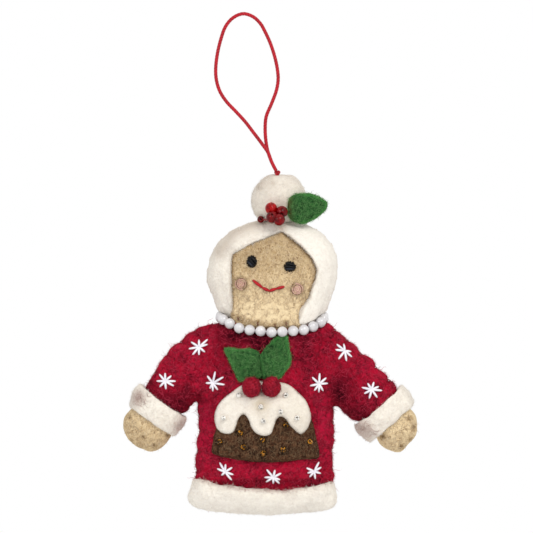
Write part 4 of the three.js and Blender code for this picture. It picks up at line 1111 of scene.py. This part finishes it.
def seated(name, ground, deep):
    """The middle of a CAD node's box and its longest side. The middle is moved along Y until the box's
    back lies this deep in the relief behind it."""
    ends = cad_ends(name)
    middle = ends.mean(0)
    middle[1] += height(ground, middle[None, [0, 2]])[0] + deep - ends[1, 1]
    return middle, np.ptp(ends, 0).max()


# Its darker marked colour is painted shade and its lighter one painted light.
berry_felt = felt("berry_felt", "felt_crimson", ((146, 2, 24), (200, 44, 64), (76, 0, 12)), (60, 0, 10),
                  (216, 70, 92), curl=2.0, contrast=0.5, mottle=1.4)
for side, inward, seed in (("left", 0.2, 91), ("right", -0.15, 92)):
    middle, across = seated(f"berry_{side}", icing_top, 0.4)
    ways, faces = ball(64, 39)
    chance = np.random.default_rng(seed)
    bands = np.sin(26 * (ways @ unit(chance.normal(size=3))) + 2.0 * np.sin(3 * ways[:, 0]))
    shape = 1 + 0.006 * bands + 0.03 * np.sin(ways @ chance.normal(size=3) * 3)
    berry = middle + (inward, 0, 0) + across * 0.52 * shape[:, None] * ways * (0.97, 1, 1.04), faces
    # Painted shade in the troughs between the bands and painted light on their crests.
    put(f"berry_wool_{side}", berry, berry_felt, [f"berry_{side}"], stain=-0.22 * bands)
    fuzz(f"berry_wisps_{side}", berry, 1100, 1.3, 0.93, seed + 2, crimson_wisps)

# Seed beads. Silver-lined clear ones lie on the icing and amber ones on the pudding, each sewn flat
# through its bore.
clear_glass = glass("clear_glass", "glass_clear", (252, 248, 240), clear=0.15, dark=0.3, grain=1500, steep=9,
                    start_at=0.36)
# Amber: mostly dark glass, whose bright patches are painted glints.
amber_glass = glass("amber_glass", "glass_amber", (255, 172, 52), clear=0.4, dark=0.03, grain=1300, steep=7,
                    start_at=0.48)
for kind, count, felt_top, finish in (
        ("silver", 7, icing_top, clear_glass), ("amber", 8, relief(pudding[0]), amber_glass)):
    for i in range(1, count + 1):
        middle, across = seated(f"{kind}_bead_{i}", felt_top, 0.3)
        put(f"{kind}_seed_bead_{i}", bead(middle, across / 2, 0.38, 0.9 * i, sides=16, rows=10), finish,
            [f"{kind}_bead_{i}"])

# Snowflakes. Nine stars of straight stitches in thick white thread, seven or eight from one hole each,
# with their own lengths and angles, as a hand sews them. Each has its hole, and its tips seen from it.
snowflakes = [
    ([-16.8, -123.2], [[3.2, 2.8], [3.2, 1], [2.2, -1.9], [0, -3], [-2.4, -2.9], [-3.8, -0.7], [-2.9, 1.8],
      [0, 2.6]]),
    ([-29.3, -135.8], [[2.3, 2], [4, 0], [3.3, -1.8], [0.3, -3], [-2, -2.1], [-3.1, 0], [-2.1, 2.5], [0, 3]]),
    ([-11.7, -136.5], [[0.9, 4.3], [4, 2.3], [4.5, -0.6], [1.9, -2.6], [0, -3.1], [-1.1, -2], [-2.6, 0],
      [-2.1, 2.7]]),
    ([37, -124.6], [[-0.4, 2.5], [-3, 2.4], [-3.5, 0.4], [-2.4, -3.1], [0.6, -3.9], [2.6, -2.3], [2.3, -0.3]]),
    ([27.5, -136.8], [[0.2, 4], [2.7, 2.3], [3.3, 0.2], [1.5, -2.6], [-0.1, -3.1], [-1.8, -2.5], [-3.4, -0.7],
      [-2.6, 2.5]]),
    ([46.9, -138.9], [[0.8, 2.8], [2.6, 1.1], [3.9, -0.4], [2.1, -3], [-0.9, -3.3], [-2.8, -1.5], [-3.7, 0.8],
      [-1.5, 2.3]]),
    ([-7.2, -169.3], [[-2, 3.5], [0.2, 2.9], [2.7, 1.7], [3.1, -1], [2.5, -3.1], [-1.2, -1.2], [-2.9, 1.2]]),
    ([10.6, -171.3], [[-2.5, 3], [0.6, 2.8], [2.9, 1.6], [2.5, -0.9], [2.3, -2.3], [0, -2.3], [-2.7, -1.7],
      [-3.3, 0]]),
    ([25.7, -169.1], [[1.8, 3.5], [2.6, 1.5], [2.4, -0.8], [0.4, -2.9], [-1.7, -2.1], [-2.5, -0.6], [-2.9, 1.3]]),
]
white_thread = thread("white_thread", "thread_white", (250, 248, 252), (206, 200, 216), roughness=0.6)
for i, (hole, tips) in enumerate(snowflakes, 1):
    stitches = together([stitch(front, hole, tip, 0.44, rise=1.1) for tip in hole + np.array(tips)])
    # Painted shade on the flanks of the stitches.
    put(f"stitched_snowflake_{i}", stitches, white_thread, [f"snowflake_{i}"], groove=0.6 * flanks(stitches))

# The string of pearls. Glossy round beads on one thread, touching, lie round the neck in the crease
# between hood and jumper and droop a little in front.
closed_line = np.roll(pearl_line, 3, 0)
closed_line = np.vstack([closed_line, closed_line[:1]])
pearl_count = int(along(closed_line)[-1] / (2 * pearl_radius))
pearl_places = evenly(closed_line, pearl_count + 1)[:-1]
pearly = surface("pearly_gloss", "pearl", lambda place: {
    "Base Color": (place.noise(260) * 2 - 0.5).held().between(dye((182, 179, 183)), dye((232, 230, 230))),
    "Roughness": 0.2, "Coat Weight": 1.0, "Coat Roughness": 0.05})
ways, faces = ball(24, 13)
put("pearls", together([(place + pearl_radius * ways, faces) for place in pearl_places]), pearly, ["pearl_string"])
put("pearl_thread", tube(pearl_line[::2], 0.25, 6, (0, 0, 1), closed=True), white_thread)
